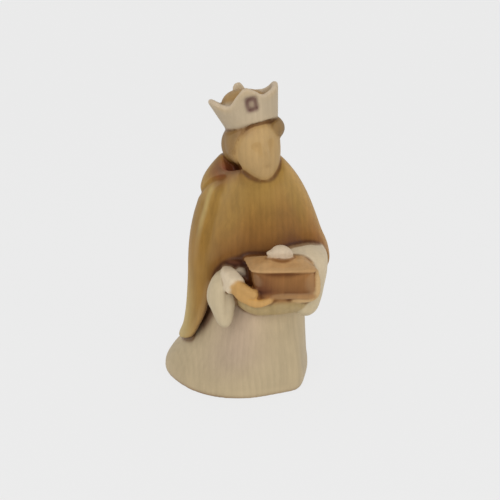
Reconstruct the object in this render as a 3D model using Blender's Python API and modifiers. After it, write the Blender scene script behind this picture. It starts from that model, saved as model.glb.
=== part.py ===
"""Wise man for a nativity set: a standing king in a long cape, carved from one block of wood.

The front is -Y, +Z is up, and the origin is the middle of the underside. The figure's free forms are
set out in units of a 120th of its height; what has a size of its own is a named value in metres.
"""

import math

import bmesh
import bpy
import numpy as np
from mathutils import Matrix, Vector

# Driving dimensions, in metres and degrees
HEIGHT = 0.120
UNIT = HEIGHT / 120
CASKET_WIDTH = 0.0224
CASKET_DEPTH = 0.0154
CASKET_HEIGHT = 0.0081
MOULDING_HEIGHT = 0.0022
MOULDING_STEP = 0.0004
LID_OVERHANG = 0.0012
LID_RIM = 0.0008
LID_RISE = 0.0025
LID_HIP = 0.0062
HIP_SHIFT = 0.0022
KNOB_WIDTH = 0.0104
KNOB_HEIGHT = 0.0049
KNOB_ASIDE = 0.0009
CROWN_WALL = 0.0024
CROWN_RADIUS = 0.0102
KNOB_ON_BACK = 0.0039
JEWEL_WIDTH = 0.0047
JEWEL_DEPTH = 0.0006
JEWEL_RISE = 0.0069
DOME_CLEARANCE = 0.0003
DOME_RISE = 0.0064
CAPE_WALL = 0.0020
COLLAR_DEPTH = 0.0010
PIT_DEPTH = 0.0020
FINGER_WIDTH = 0.0032
CASKET_TURN = 1.0
CASKET_SKEW = 8.5
CASKET_LEAN = 4.6
CROWN_FLARE = 17.0
FLARE_CHANGE = 2.6
CROWN_LEAN = 14.7
CROWN_BACK = 7.1
CROWN_TURN = 5.6
JEWEL_ANGLE = 4.0
KNOB_ANGLE = 185.0
HEAD_TURN = 18.0
HEAD_LEAN = 12.0
HEAD_NOD = 6.0

# Places, in units of the height
BODY_AXIS = (5.0, -4.0)
AXIS_STARTS = 24.0
CASKET_PLACE = (16.4, -32.6, 45.3)
HEAD_PLACE = (6.0, -7.0, 97.0)
CROWN_PLACE = (5.2, -7.4, 104.6)
COLLAR_HEIGHT = 91.6

# Sections of the robe: height, then how far it reaches to -X, +X, -Y and +Y
ROBE_SECTIONS = (
    (0.0, -30.8, 28.0, -30.6, 30.0),
    (0.8, -31.2, 28.4, -31.2, 30.4),
    (4.0, -31.2, 28.6, -31.2, 30.2),
    (9.0, -28.6, 28.0, -30.6, 27.8),
    (14.0, -24.8, 27.6, -29.6, 24.8),
    (20.0, -21.4, 27.2, -28.6, 22.0),
    (30.0, -17.6, 26.6, -26.4, 19.6),
    (40.0, -15.4, 25.6, -24.2, 17.6),
    (50.0, -13.6, 23.6, -21.6, 15.4),
    (60.0, -11.0, 20.0, -18.0, 12.4),
)
# Sections of the cape, in the same order
CAPE_SECTIONS = (
    (9.0, -29.8, 29.0, -31.0, 30.4),
    (14.0, -26.7, 29.4, -31.0, 28.2),
    (20.0, -23.7, 29.8, -30.6, 25.8),
    (28.0, -22.0, 30.8, -29.4, 23.0),
    (36.0, -21.2, 33.2, -27.8, 21.2),
    (44.0, -20.7, 35.6, -26.4, 19.4),
    (50.0, -20.5, 36.4, -25.6, 18.0),
    (56.0, -20.1, 35.4, -24.8, 16.8),
    (62.0, -19.3, 32.8, -23.2, 15.4),
    (68.0, -18.0, 30.6, -21.2, 14.0),
    (74.0, -16.2, 28.2, -19.0, 12.6),
    (79.0, -15.2, 25.8, -17.0, 11.4),
    (83.0, -14.0, 23.4, -15.2, 10.4),
    (86.0, -12.2, 21.2, -13.6, 9.2),
    (89.0, -9.8, 18.6, -11.4, 7.8),
    (92.0, -7.0, 15.4, -8.8, 6.0),
)
CAPE_POWER = 2.3
# The cape's hem: angle round from the front, then its height
CAPE_HEM = (
    (-180.0, 12.6),
    (-140.0, 12.6),
    (-112.0, 14.6),
    (-96.0, 16.4),
    (-84.0, 17.2),
    (-68.0, 19.2),
    (-58.0, 21.8),
    (-49.5, 27.5),
    (-41.5, 34.5),
    (-36.5, 42.5),
    (-29.0, 48.5),
    (-24.0, 51.8),
    (-19.5, 53.2),
    (-5.5, 55.2),
    (8.5, 56.0),
    (20.0, 57.0),
    (31.5, 58.4),
    (42.5, 58.8),
    (55.0, 57.7),
    (70.0, 55.8),
    (86.0, 49.0),
    (98.0, 41.0),
    (112.0, 31.0),
    (132.0, 20.0),
    (155.0, 14.0),
    (180.0, 12.6),
)
# The crown's rim: angle round from its front, then its height in units
CROWN_RIM = (
    (-180, 12.6), (-150, 11.6), (-125, 10.6), (-108, 12.2), (-94, 12.7), (-80, 12.5), (-67, 11.2),
    (-52, 9.4), (-38, 8.5),
    (-16, 11.4), (0, 13.3), (13, 11.7), (27, 9.7), (48, 10.2), (72, 11.7), (92, 13.1), (104, 13.1),
    (120, 12.2), (137, 11.6), (155, 12.0), (180, 12.6),
)
# The right sleeve's hanging part and the left sleeve, as sections like the robe's
LEAF_SECTIONS = (
    (31.2, -6.8, -3.6, -33.6, -29.0),
    (32.4, -7.9, -2.7, -34.6, -28.0),
    (34.8, -9.1, -1.9, -35.4, -27.0),
    (38.2, -10.4, -1.2, -36.2, -25.0),
    (41.2, -11.7, -0.5, -36.8, -24.0),
    (44.7, -11.8, -0.8, -36.8, -22.0),
    (47.6, -10.9, -2.6, -36.4, -22.0),
    (50.0, -9.6, -3.8, -35.0, -23.0),
    (51.6, -8.2, -4.6, -33.2, -25.0),
)
# The wood left under the hands, and the full lobes of hair: name, middle, half sizes
HAND_MASSES = (
    ("hand_mass_right", (9.0, -27.4, 44.9), (11.5, 12.6, 10.0)),
    ("hand_mass_middle", (14.0, -27.0, 44.8), (13.5, 12.6, 9.7)),
    ("hand_mass_left", (18.0, -26.2, 44.7), (12.6, 12.6, 9.2)),
)
HAIR_LOBES = (
    ("hair_left", (11.4, -4.5, 102.3), (6.4, 8.5, 5.2)),
    ("hair_right", (-0.2, -4.0, 96.0), (6.6, 8.0, 8.0)),
    ("hair_back", (5.6, -0.6, 99.4), (10.6, 8.0, 6.6)),
)
# The wood left standing between the chest and the casket
CHEST_SECTIONS = (
    (41.0, 0.0, 26.0, -29.0, -14.0),
    (46.0, -1.5, 27.0, -32.5, -14.0),
    (50.0, -3.0, 28.0, -32.5, -14.0),
    (53.0, -5.5, 28.0, -28.6, -14.0),
    (55.0, -6.0, 28.0, -26.5, -14.0),
)
LEFT_SLEEVE = (
    (34.6, 22.5, 29.0, -30.0, -18.0),
    (36.5, 19.0, 30.7, -33.0, -14.0),
    (40.0, 17.0, 32.0, -35.0, -12.0),
    (46.0, 16.0, 33.2, -36.2, -10.0),
    (51.0, 16.0, 34.1, -36.0, -10.0),
    (53.4, 15.0, 34.3, -34.0, -10.0),
    (55.6, 14.0, 34.2, -31.5, -8.0),
    (57.4, 14.0, 33.2, -29.0, -8.0),
    (58.8, 15.0, 30.5, -26.0, -8.0),
    (59.8, 17.0, 27.5, -22.5, -8.0),
)

ROUND = 54


def through(stations, at):
    """A smooth curve through the stations: the first column is the place, the others are its values."""
    table = np.array(stations, float)
    place, values = table[:, 0], table[:, 1:]
    slopes = np.gradient(values, place, axis=0)
    at = np.clip(at, place[0], place[-1])
    i = np.clip(np.searchsorted(place, at, side="right") - 1, 0, len(place) - 2)
    gap = (place[i + 1] - place[i])[..., None]
    s = ((at - place[i]) / (place[i + 1] - place[i]))[..., None]
    return (
        (1 + 2 * s) * (1 - s) ** 2 * values[i]
        + s * (1 - s) ** 2 * gap * slopes[i]
        + s**2 * (3 - 2 * s) * values[i + 1]
        + s**2 * (s - 1) * gap * slopes[i + 1]
    )


def smooth_step(low, high, x):
    """0 below low, 1 above high, and an S-shaped rise between them."""
    t = np.clip((x - low) / (high - low), 0, 1)
    return t * t * (3 - 2 * t)


def oval(angle, height, sections, power, middle=BODY_AXIS):
    """Points of the section at that height: an oval round the middle that reaches to four given sides.

    The angle runs from the front round by +X. A power over 2 squares the oval's corners.
    """
    left, right, front, back = np.moveaxis(through(sections, height), -1, 0)
    middle_x, middle_y = np.moveaxis(np.asarray(middle), -1, 0)
    across, along = np.sin(angle), -np.cos(angle)
    reach_x = np.where(across > 0, right - middle_x, middle_x - left)
    reach_y = np.where(along > 0, back - middle_y, middle_y - front)
    x = middle_x + reach_x * np.sign(across) * np.abs(across) ** (2 / power)
    y = middle_y + reach_y * np.sign(along) * np.abs(along) ** (2 / power)
    return np.stack([x, y, height + 0 * x], axis=-1)


def loft(name, rings, low_pole, high_pole):
    """A closed mesh over rings of points, given from the lowest up and anticlockwise seen from above."""
    rows, columns = rings.shape[:2]
    points = [Vector(p) * UNIT for p in (*rings.reshape(-1, 3), low_pole, high_pole)]
    bm = bmesh.new()
    verts = [bm.verts.new(p) for p in points]
    for row in range(rows - 1):
        for column in range(columns):
            a = row * columns + column
            b = row * columns + (column + 1) % columns
            bm.faces.new([verts[a], verts[b], verts[b + columns], verts[a + columns]])
    top = (rows - 1) * columns
    for column in range(columns):
        following = (column + 1) % columns
        bm.faces.new([verts[following], verts[column], verts[-2]])
        bm.faces.new([verts[top + column], verts[top + following], verts[-1]])
    return finish_mesh(name, bm)


def finish_mesh(name, bm):
    """An object of this bmesh, with its faces turned outwards."""
    bmesh.ops.recalc_face_normals(bm, faces=bm.faces)
    mesh = bpy.data.meshes.new(name)
    bm.to_mesh(mesh)
    bm.free()
    obj = bpy.data.objects.new(name, mesh)
    forms.objects.link(obj)
    return obj


def angles_round():
    return np.linspace(-math.pi, math.pi, ROUND, endpoint=False)


def robe():
    """The skirt, and the body that fills the cape."""
    heights = np.array([0, 0.8, 4, 8, 12, 16, 21, 27, 34, 42, 50, 58])
    angle, height = np.meshgrid(angles_round(), heights)
    # The hem is a disc round the origin, and the body above it stands on an axis of its own
    drift = smooth_step(0, AXIS_STARTS, height)[..., None] * np.array(BODY_AXIS)
    # The base has a firmer corner at its right front and a softer one at the left
    degrees = np.degrees(angle)
    corner = 0.85 * np.exp(-(((degrees - 52) / 17) ** 2)) - 0.20 * np.exp(-(((degrees + 60) / 30) ** 2))
    power = 1.97 + corner * smooth_step(AXIS_STARTS, 4, height)
    rings = oval(angle, height, ROBE_SECTIONS, power, drift)
    return loft("robe", rings, (0, 0, 0), (*BODY_AXIS, 60))


def ridge(angle, height, path, width):
    """1 on a line drawn on the cloth, falling to 0 away from it. The path is angle, then height, in order."""
    degrees = np.degrees(angle)
    line = through(path, degrees)[..., 0]
    inside = (degrees > path[0][0]) & (degrees < path[-1][0])
    ends = np.minimum(degrees - path[0][0], path[-1][0] - degrees) / 14
    return np.where(inside, np.clip(ends, 0, 1) * np.exp(-(((height - line) / width) ** 2)), 0)


def cape():
    """The mantle over shoulders, back and chest, hollowed behind its hem and round the neck."""
    around = angles_round()
    hem = through(CAPE_HEM, np.degrees(around))[:, 0]
    # The collar is low at the right jaw, where the wood is cut in beside the beard, and behind the chin
    low_side = np.exp(-(((np.degrees(around) + 38) / 30) ** 2))
    in_front = np.exp(-(((np.degrees(around) - 10) / 50) ** 2))
    collar = COLLAR_HEIGHT - 3.6 * low_side - 3.0 * in_front
    steps = np.linspace(0, 1, 16) ** 0.92
    height = hem + (collar - hem) * steps[:, None]
    angle = np.broadcast_to(around, height.shape)
    degrees = np.degrees(angle)
    outer = oval(angle, height, CAPE_SECTIONS, CAPE_POWER)
    outward = np.stack([np.sin(angle), -np.cos(angle), 0 * angle], axis=-1)
    # The crease below the collar's roll, the edge of the arm, and the soft folds of the back
    crease_path = ((-150, 73), (-100, 76), (-78, 77.7), (-58, 82.3), (-40, 84.6), (-22, 86.4))
    crease = ridge(angle, height, crease_path, 1.9)
    edge_line = through(((46, -58), (62, -56), (70, -54), (78, -51), (84, -43)), height)[..., 0]
    arm = np.clip((height - 50) / 14, 0, 1) * np.clip((86 - height) / 6, 0, 1)
    valley = arm * np.exp(-(((degrees - edge_line - 11) / 8) ** 2))
    back = np.clip((np.abs(degrees) - 85) / 40, 0, 1)
    folds = back * np.cos(9 * angle) * np.clip((76 - height) / 60, 0, 1)
    outer = outer + outward * (folds - 1.0 * crease - 0.7 * valley)[..., None]
    inward = -outward[0] * CAPE_WALL / UNIT
    hem_inner = outer[0] + inward
    hem_deep = oval(around, hem + 6, CAPE_SECTIONS, CAPE_POWER) + inward * 1.3
    axis = np.array([*BODY_AXIS, 0.0])
    collar_inner = outer[-1] + inward
    pit = axis + (collar_inner - axis) * (0.62, 0.62, 1)
    pit[:, 2] -= (COLLAR_DEPTH + PIT_DEPTH * low_side) / UNIT
    rings = np.concatenate([[hem_deep, hem_inner], outer, [collar_inner, pit]])
    return loft("cape", rings, axis + (0, 0, 44), axis + (0, 0, 86))


def stack(name, sections, middle, power, low_pole, high_pole):
    """Level ovals from the lowest to the highest of the sections."""
    angle = np.linspace(-math.pi, math.pi, 22, endpoint=False)
    angle, height = np.meshgrid(angle, [section[0] for section in sections])
    return loft(name, oval(angle, height, sections, power, middle), low_pole, high_pole)


def limb(name, path, radii, power=2.0, blunt=False, steps=5, columns=11):
    """A tube along a smooth curve through the path. A power over 2 squares it, blunt makes its ends flat."""
    share = np.linspace(0, 1, len(path))
    at = np.linspace(0, 1, steps)
    middle = through(np.column_stack([share, path]), at)
    radius = through(np.column_stack([share, radii]), at)[:, 0]
    ahead = np.gradient(middle, axis=0)
    ahead /= np.linalg.norm(ahead, axis=1, keepdims=True)
    side = np.cross(ahead, (0.02, 0.05, 1.0))
    side /= np.linalg.norm(side, axis=1, keepdims=True)
    up = np.cross(side, ahead)
    angle = np.linspace(0, 2 * math.pi, columns, endpoint=False)[:, None]
    c, s = np.cos(angle), np.sin(angle)
    grow = (np.abs(c) ** power + np.abs(s) ** power) ** (-1 / power)
    circle = grow * (c * side[:, None] + s * up[:, None])
    rings = middle[:, None] + circle * radius[:, None, None]
    if not blunt:
        start = middle[0] + circle[0] * radius[0] * 0.66 - ahead[0] * radius[0] * 0.75
        end = middle[-1] + circle[-1] * radius[-1] * 0.66 + ahead[-1] * radius[-1] * 0.75
        rings = np.concatenate([[start], rings, [end]])
    tip = 0.12 if blunt else 1.0
    first_tip = middle[0] - ahead[0] * radius[0] * tip
    last_tip = middle[-1] + ahead[-1] * radius[-1] * tip
    return loft(name, rings, first_tip, last_tip)


def sleeves():
    """The right sleeve's squared cuff and hanging part, a piece of its lining, and the fuller left sleeve."""
    cuff_path = [(-4.0, -22, 50.5), (-4.2, -28, 51.4), (-2.9, -33.5, 50.9), (-0.8, -37.6, 49.3)]
    return [
        limb("cuff", cuff_path, [1.6, 2.2, 3.1, 3.3], 6.0, True, columns=16),
        limb("lining", [(0.9, -20, 51.8), (0.8, -30.2, 51.6)], [1.9, 1.7], 4.0, True, 2, 16),
        stack("chest", CHEST_SECTIONS, (11.0, -20.0), 3.0, (11.0, -20, 40.0), (11.0, -18, 57.0)),
        stack("leaf", LEAF_SECTIONS, (-5.2, -30.5), 2.4, (-5.1, -31.4, 30.7), (-6.0, -30.0, 52.4)),
        stack("sleeve_left", LEFT_SLEEVE, (25.5, -17.0), 2.5, (26.0, -24.0, 33.9), (22.0, -14.0, 60.4)),
    ]


def casket_frame():
    """From the casket's own axes (right, back, up from the middle of its underside) to the figure's.

    The box isn't square: its width is turned, its depth is skewed further and its height leans.
    """
    turn, skewed = math.radians(CASKET_TURN), math.radians(CASKET_TURN + CASKET_SKEW)
    lean = math.tan(math.radians(CASKET_LEAN))
    x, y, z = Vector(CASKET_PLACE) * UNIT
    return Matrix((
        (math.cos(turn), -math.sin(skewed), -lean, x),
        (math.sin(turn), math.cos(skewed), 0, y),
        (0, 0, 1, z),
        (0, 0, 0, 1),
    ))


def slab(name, size, low, shrink=0.0, shift=0.0):
    """A block standing on the height low in the casket's frame, its upper face drawn in and moved aside."""
    bm = bmesh.new()
    bmesh.ops.create_cube(bm, size=1)
    for v in bm.verts:
        upper = v.co.z > 0
        v.co = Vector((
            math.copysign(size[0] / 2 - shrink * upper, v.co.x) + shift * upper,
            math.copysign(size[1] / 2 - shrink * upper, v.co.y),
            low + size[2] * upper,
        ))
    bm.transform(casket_frame())
    return finish_mesh(name, bm)


def casket():
    """The gift: a body between a base moulding and a lid with a low hipped top."""
    step = 2 * MOULDING_STEP
    over = 2 * LID_OVERHANG
    rim_low = MOULDING_HEIGHT + CASKET_HEIGHT
    seat = UNIT * 0.3
    lid = (CASKET_WIDTH + over, CASKET_DEPTH + over)
    return [
        slab("casket_moulding", (CASKET_WIDTH + step, CASKET_DEPTH + step, MOULDING_HEIGHT), 0),
        slab("casket_body", (CASKET_WIDTH, CASKET_DEPTH, CASKET_HEIGHT + 2 * seat), MOULDING_HEIGHT - seat),
        slab("casket_lid", (*lid, LID_RIM), rim_low),
        slab("casket_lid_top", (*lid, LID_RISE + seat / 3), rim_low + LID_RIM - seat / 3, LID_HIP, HIP_SHIFT),
    ]


def knob():
    """The lid's knob: a dome on an oval brim that runs out to a lobe at one side."""
    low = (MOULDING_HEIGHT + CASKET_HEIGHT + LID_RIM + LID_RISE) / UNIT - 0.2
    half, tall, aside = KNOB_WIDTH / 2 / UNIT, KNOB_HEIGHT / UNIT, KNOB_ASIDE / UNIT
    angle = np.linspace(0, 2 * math.pi, 24, endpoint=False)
    rings = []
    for height, brim, dome in (
        (-0.30, 0.66, 0.0), (0.0, 0.66, 0.0), (0.14, 0.78, 0.0), (0.26, 1.00, 0.0), (0.44, 1.00, 0.0),
        (0.52, 0.86, 0.94), (0.56, 0.50, 1.0), (0.66, 0.0, 0.97), (0.80, 0.0, 0.80), (0.93, 0.0, 0.48),
    ):
        round_half = half * 0.70 * dome
        reach = half * brim * np.where(np.cos(angle) < 0, 1.10, 0.84)
        x = aside + np.cos(angle) * np.maximum(reach, round_half)
        y = np.sin(angle) * np.maximum(half * 0.62 * brim * np.abs(np.sin(angle)) ** 0.35, round_half)
        rings.append(np.stack([x, y, low + tall * height + 0 * x], axis=-1))
    obj = loft("knob", np.array(rings), (aside, 0, low - 0.3 * tall), (aside, 0, low + tall))
    obj.data.transform(casket_frame())
    return obj


def hands():
    """Two simple mitts: the right one passes under the casket, the left one rises along its far end."""
    finger = FINGER_WIDTH / UNIT * 0.92
    right_palm = [(-1.2, -36.4, 49.2), (0.4, -37.8, 48.3), (3.2, -38.8, 46.4), (7.5, -38.4, 44.9)]
    right_thumb = [(-1.4, -37.6, 50.2), (2.4, -40.2, 48.9), (5.6, -41.4, 47.7)]
    left_palm = [
        (28.6, -36.0, 55.0), (29.0, -37.0, 50.6), (28.2, -38.0, 46.4),
        (25.0, -38.2, 44.6), (20.0, -38.0, 44.4),
    ]
    parts = [
        limb("right_palm", right_palm, [2.5, 2.9, 3.2, 2.4], 2.4),
        limb("right_thumb", right_thumb, [2.1, 1.9, 1.6]),
        limb("left_palm", left_palm, [0.9, 1.4, 1.7, 1.4, 1.0]),
    ]
    for number, reach in enumerate((11.5, 12.5, 12.0, 10.5)):
        y = -40.7 + number * finger
        path = [(1.8, y + 1.4, 46.2), (5.4, y + 0.4, 44.2), (8.5, y, 43.8), (reach, y + 0.4, 44.6)]
        parts.append(limb(f"right_finger{number}", path, [1.9, 1.9, 1.5, 1.1], steps=4, columns=9))
    for number, reach in enumerate((21.0, 20.0, 20.5)):
        y = -36.8 + number * finger
        path = [(28.8, y, 47.0), (26.0, y, 44.8), (reach, y, 44.4)]
        parts.append(limb(f"left_finger{number}", path, [1.7, 1.5, 1.1], steps=4, columns=9))
    return parts


def hand_mass(name, place, radii):
    """The wood left under a hand: half an egg that runs back into the skirt."""
    bm = bmesh.new()
    bmesh.ops.create_uvsphere(bm, u_segments=22, v_segments=10, radius=UNIT)
    bm.transform(Matrix.Translation(Vector(place) * UNIT) @ Matrix.Diagonal((*radii, 1)))
    for v in bm.verts:
        v.co.z = min(v.co.z, (CASKET_PLACE[2] + 0.5) * UNIT)
    return finish_mesh(name, bm)


def head_frame():
    """From the head's own axes (right, back, up from its middle) to the figure's."""
    lean = Matrix.Rotation(math.radians(-HEAD_LEAN), 4, "Y")
    turn = Matrix.Rotation(math.radians(HEAD_TURN), 4, "Z")
    nod = Matrix.Rotation(math.radians(HEAD_NOD), 4, "X")
    return Matrix.Translation(Vector(HEAD_PLACE) * UNIT) @ lean @ turn @ nod


def swell(angle, tilt, at, width):
    """A soft bump of height 1 at one place on the head, in degrees round and up, of that width each way."""
    return np.exp(-(((angle - at[0]) / width[0]) ** 2) - ((tilt - at[1]) / width[1]) ** 2)


def head():
    """Skull, beard and hair as one egg, with the hair standing proud round the face's pointed arch.

    The face is a plain calm one: eyes half-way up the head, the nose's tip half-way from there to the chin.
    """
    around = np.linspace(-math.pi, math.pi, 45, endpoint=False)
    rise = np.radians([-74, -62, -51, -41, -32, -24, -16, -9, -2, 5, 12, 20, 29, 40, 54, 72])
    angle, tilt = np.meshgrid(around, rise)
    x = 10.0 * np.cos(tilt) * np.sin(angle)
    y = -np.where(np.cos(angle) > 0, 10.4, 11.5) * np.cos(tilt) * np.cos(angle)
    z = np.where(tilt > 0, 12.6, 15.8) * np.sin(tilt)
    low = np.clip(-tilt / math.radians(70), 0, 1)
    y = y - 4.4 * low**1.4
    x = x * (1 - 0.14 * low)
    degrees, up = np.degrees(angle), np.degrees(tilt)
    left_line = through((
        (-90, -104), (-45, -92), (-20, -82), (-2, -73), (11, -62),
        (22, -55), (32, -44), (41, -28), (48, -8), (54, 14),
    ), up)
    right_line = through((
        (-90, 112), (-45, 110), (-20, 104), (0, 88), (15, 74), (30, 58), (40, 48), (48, 38), (54, 30),
    ), up)
    outside = np.maximum(left_line[..., 0] - degrees, degrees - right_line[..., 0]) / 9
    hair = np.clip(0.5 + outside, 0, 1)
    left = np.clip(-degrees / 60, 0, 1)
    # Behind the jaw at the right the hair ends, and the wood is cut in towards the neck
    cut_in = smooth_step(-68, -84, degrees) * smooth_step(-165, -140, degrees) * smooth_step(-8, -30, up)
    grow = 1 + (0.06 + 0.09 * left) * hair * np.clip((up + 70) / 40, 0, 1) - 0.24 * cut_in
    face = (
        0.105 * swell(degrees, up, (4, -3), (6, 12))
        - 0.045 * swell(degrees, up, (-16, 6), (10, 6))
        - 0.045 * swell(degrees, up, (24, 6), (10, 6))
        + 0.022 * swell(degrees, up, (4, 18), (30, 6))
        + 0.022 * swell(degrees, up, (4, -27), (13, 6))
    )
    rings = np.stack([x * grow, y * (grow + face), z * (1 + 0.04 * hair)], axis=-1)
    obj = loft("head", rings, (0, -4.6, -15.9), (0, 0, 13.0))
    obj.data.transform(head_frame())
    return obj


def neck():
    """The column that carries the head inside the collar."""
    angle = np.linspace(0, 2 * math.pi, 24, endpoint=False)
    rings = []
    for height, x, y, half in ((78, 5, -4, 6.4), (85, 5, -4, 6.6), (91, 5, -4.6, 7.0), (96, 5.4, -5, 7.4)):
        ring = [x + half * np.cos(angle), y + half * np.sin(angle), height + 0 * angle]
        rings.append(np.stack(ring, axis=-1))
    return loft("neck", np.array(rings), (5, -4, 77), (5.4, -5, 97))


def crown_frame():
    """From the crown's own axes (right, back, up from the middle of its lower edge) to the figure's."""
    lean = Matrix.Rotation(math.radians(-CROWN_LEAN), 4, "Y")
    back = Matrix.Rotation(math.radians(-CROWN_BACK), 4, "X")
    turn = Matrix.Rotation(math.radians(CROWN_TURN), 4, "Z")
    return Matrix.Translation(Vector(CROWN_PLACE) * UNIT) @ lean @ back @ turn


def crown():
    """A flaring wall with four points, gone round from the outside over the rim to the hair within."""
    angle = np.linspace(-math.pi, math.pi, 54, endpoint=False)
    degrees = np.degrees(angle)
    from_back = (degrees % 360 - KNOB_ANGLE) / 10.5
    top = through(CROWN_RIM, degrees)[:, 0] + KNOB_ON_BACK / UNIT * np.exp(-(from_back**4))
    radius, wall = CROWN_RADIUS / UNIT, CROWN_WALL / UNIT
    half = wall / 2
    # The crown flares more on its low side than on its high one
    flare = np.tan(np.radians(CROWN_FLARE - FLARE_CHANGE * np.sin(angle)))
    shoulder = top - half
    rows = [(radius + shoulder * share * flare, shoulder * share) for share in (0.0, 0.5, 1.0)]
    rim_middle = radius + shoulder * flare - half
    for turn_over in np.radians((60, 120)):
        rows.append((rim_middle + half * math.cos(turn_over), shoulder + half * math.sin(turn_over)))
    # The hair inside starts just below the lowest dip of the rim
    lowest_dip = min(station[1] for station in CROWN_RIM)
    low, rise = lowest_dip - half - DOME_CLEARANCE / UNIT, DOME_RISE / UNIT
    rows.append((radius + shoulder * flare - wall, shoulder))
    foot = radius + low * flare - wall
    # The hair follows the level head, so in the leaning crown it stands fuller at the low side
    rows += [
        (foot * math.cos(t), low + rise * math.sin(t) * (1 - 0.35 * np.sin(angle) * math.cos(t)))
        for t in np.radians((0, 35, 65))
    ]
    rings = np.array([
        np.stack([reach * np.sin(angle), -reach * np.cos(angle), up + 0 * angle], axis=-1)
        for reach, up in rows
    ])
    obj = loft("crown", rings, (0, 0, 0), (0, 0, low + rise))
    obj.data.transform(crown_frame())
    return obj


def hair_lobe(name, place, radii):
    """One of the full lobes of hair at the head's sides and back, below the crown."""
    bm = bmesh.new()
    bmesh.ops.create_uvsphere(bm, u_segments=17, v_segments=9, radius=UNIT)
    bm.transform(Matrix.Translation(Vector(place) * UNIT) @ Matrix.Diagonal((*radii, 1)))
    return finish_mesh(name, bm)


def jewel_place(depth):
    """A frame on the crown's front, its -Y straight out of the wall, set back by the depth."""
    reach = CROWN_RADIUS + JEWEL_RISE * math.tan(math.radians(CROWN_FLARE))
    aside = Matrix.Rotation(math.radians(JEWEL_ANGLE), 4, "Z")
    tilt = Matrix.Rotation(math.radians(-CROWN_FLARE), 4, "X")
    return crown_frame() @ aside @ Matrix.Translation((0, -reach + depth, JEWEL_RISE)) @ tilt


def jewel():
    """The square stone set in the crown's front."""
    bm = bmesh.new()
    bmesh.ops.create_cube(bm, size=1)
    half = JEWEL_WIDTH * 0.5
    bm.transform(jewel_place(JEWEL_DEPTH) @ Matrix.Diagonal((half, JEWEL_DEPTH * 2, half * 1.15, 1)))
    obj = finish_mesh("jewel", bm)
    bevel = obj.modifiers.new("edge", "BEVEL")
    bevel.width = JEWEL_DEPTH * 0.6
    bevel.segments = 2
    return applied(obj)


def jewel_setting():
    """The cutter for the square recess round the stone."""
    bm = bmesh.new()
    bmesh.ops.create_cube(bm, size=1)
    size = Matrix.Diagonal((JEWEL_WIDTH, JEWEL_DEPTH * 4, JEWEL_WIDTH * 1.15, 1))
    bm.transform(jewel_place(-JEWEL_DEPTH) @ size)
    return finish_mesh("jewel_setting", bm)


def applied(obj):
    """Makes the object's evaluated shape its mesh, and drops its modifiers."""
    graph = bpy.context.evaluated_depsgraph_get()
    mesh = bpy.data.meshes.new_from_object(obj.evaluated_get(graph))
    obj.modifiers.clear()
    obj.data = mesh
    return obj


def wood():
    """Pale maple under a golden brown stain."""
    material = bpy.data.materials.new("stained maple")
    material.use_nodes = True
    shader = material.node_tree.nodes["Principled BSDF"]
    shader.inputs["Base Color"].default_value = (0.36, 0.22, 0.09, 1)
    shader.inputs["Roughness"].default_value = 0.45
    shader.inputs["Metallic"].default_value = 0.0
    return material


def carve(base, operation, operands):
    """Joins the operands to the base, or cuts them out of it, all at once, and leaves one mesh."""
    group = bpy.data.collections.new("operands")
    for operand in operands:
        group.objects.link(operand)
    step = base.modifiers.new(operation.lower(), "BOOLEAN")
    step.operation = operation
    step.solver = "EXACT"
    step.operand_type = "COLLECTION"
    step.collection = group
    applied(base)
    for operand in operands:
        bpy.data.objects.remove(operand)
    bpy.data.collections.remove(group)
    return base


def fill_bubbles(obj):
    """Drops the inner shells, whose faces look into air that the joined forms have closed off."""
    bm = bmesh.new()
    bm.from_mesh(obj.data)
    left = set(bm.verts)
    while left:
        shell = {left.pop()}
        edge_of_shell = set(shell)
        while edge_of_shell:
            edge_of_shell = {e.other_vert(v) for v in edge_of_shell for e in v.link_edges} - shell
            shell |= edge_of_shell
        left -= shell
        faces = {face for v in shell for face in v.link_faces}
        volume = sum(face.normal.dot(face.calc_center_median()) * face.calc_area() for face in faces)
        if volume < 0:
            bmesh.ops.delete(bm, geom=list(shell), context="VERTS")
    bm.to_mesh(obj.data)
    bm.free()


for old in list(bpy.data.objects):
    bpy.data.objects.remove(old)
forms = bpy.data.collections.new("wise_man")
bpy.context.scene.collection.children.link(forms)

figure = carve(robe(), "UNION", [
    cape(),
    *sleeves(),
    *(hand_mass(*mass) for mass in HAND_MASSES),
    neck(),
    head(),
    *(hair_lobe(*lobe) for lobe in HAIR_LOBES),
    carve(crown(), "DIFFERENCE", [jewel_setting()]),
    jewel(),
    *casket(),
    knob(),
    *hands(),
])
fill_bubbles(figure)
figure.name = "wise_man"
figure.data.materials.clear()
figure.data.materials.append(wood())
figure.data.shade_smooth()
figure.data.set_sharp_from_angle(angle=math.radians(40))
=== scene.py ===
# %% [markdown]
# A carved wise man
#
# The real figurine is cut from one block of pale maple, sanded smooth, stained by hand in a few
# tones and lacquered. This lesson rebuilds it as one skin. Each form is first worked out with numpy
# as a grid of points, with the stain's colour at each point. Then the forms are fused into one piece
# of wood, and the maple's grain goes over all of it in the shader.
#
# The solid model comes first. It fixes the figure's size, and the new skin stands in its place. Left
# and right are as seen from the front, but sleeves, hands and shoulders are the wise man's own.

# %% The solid model

import math

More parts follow.
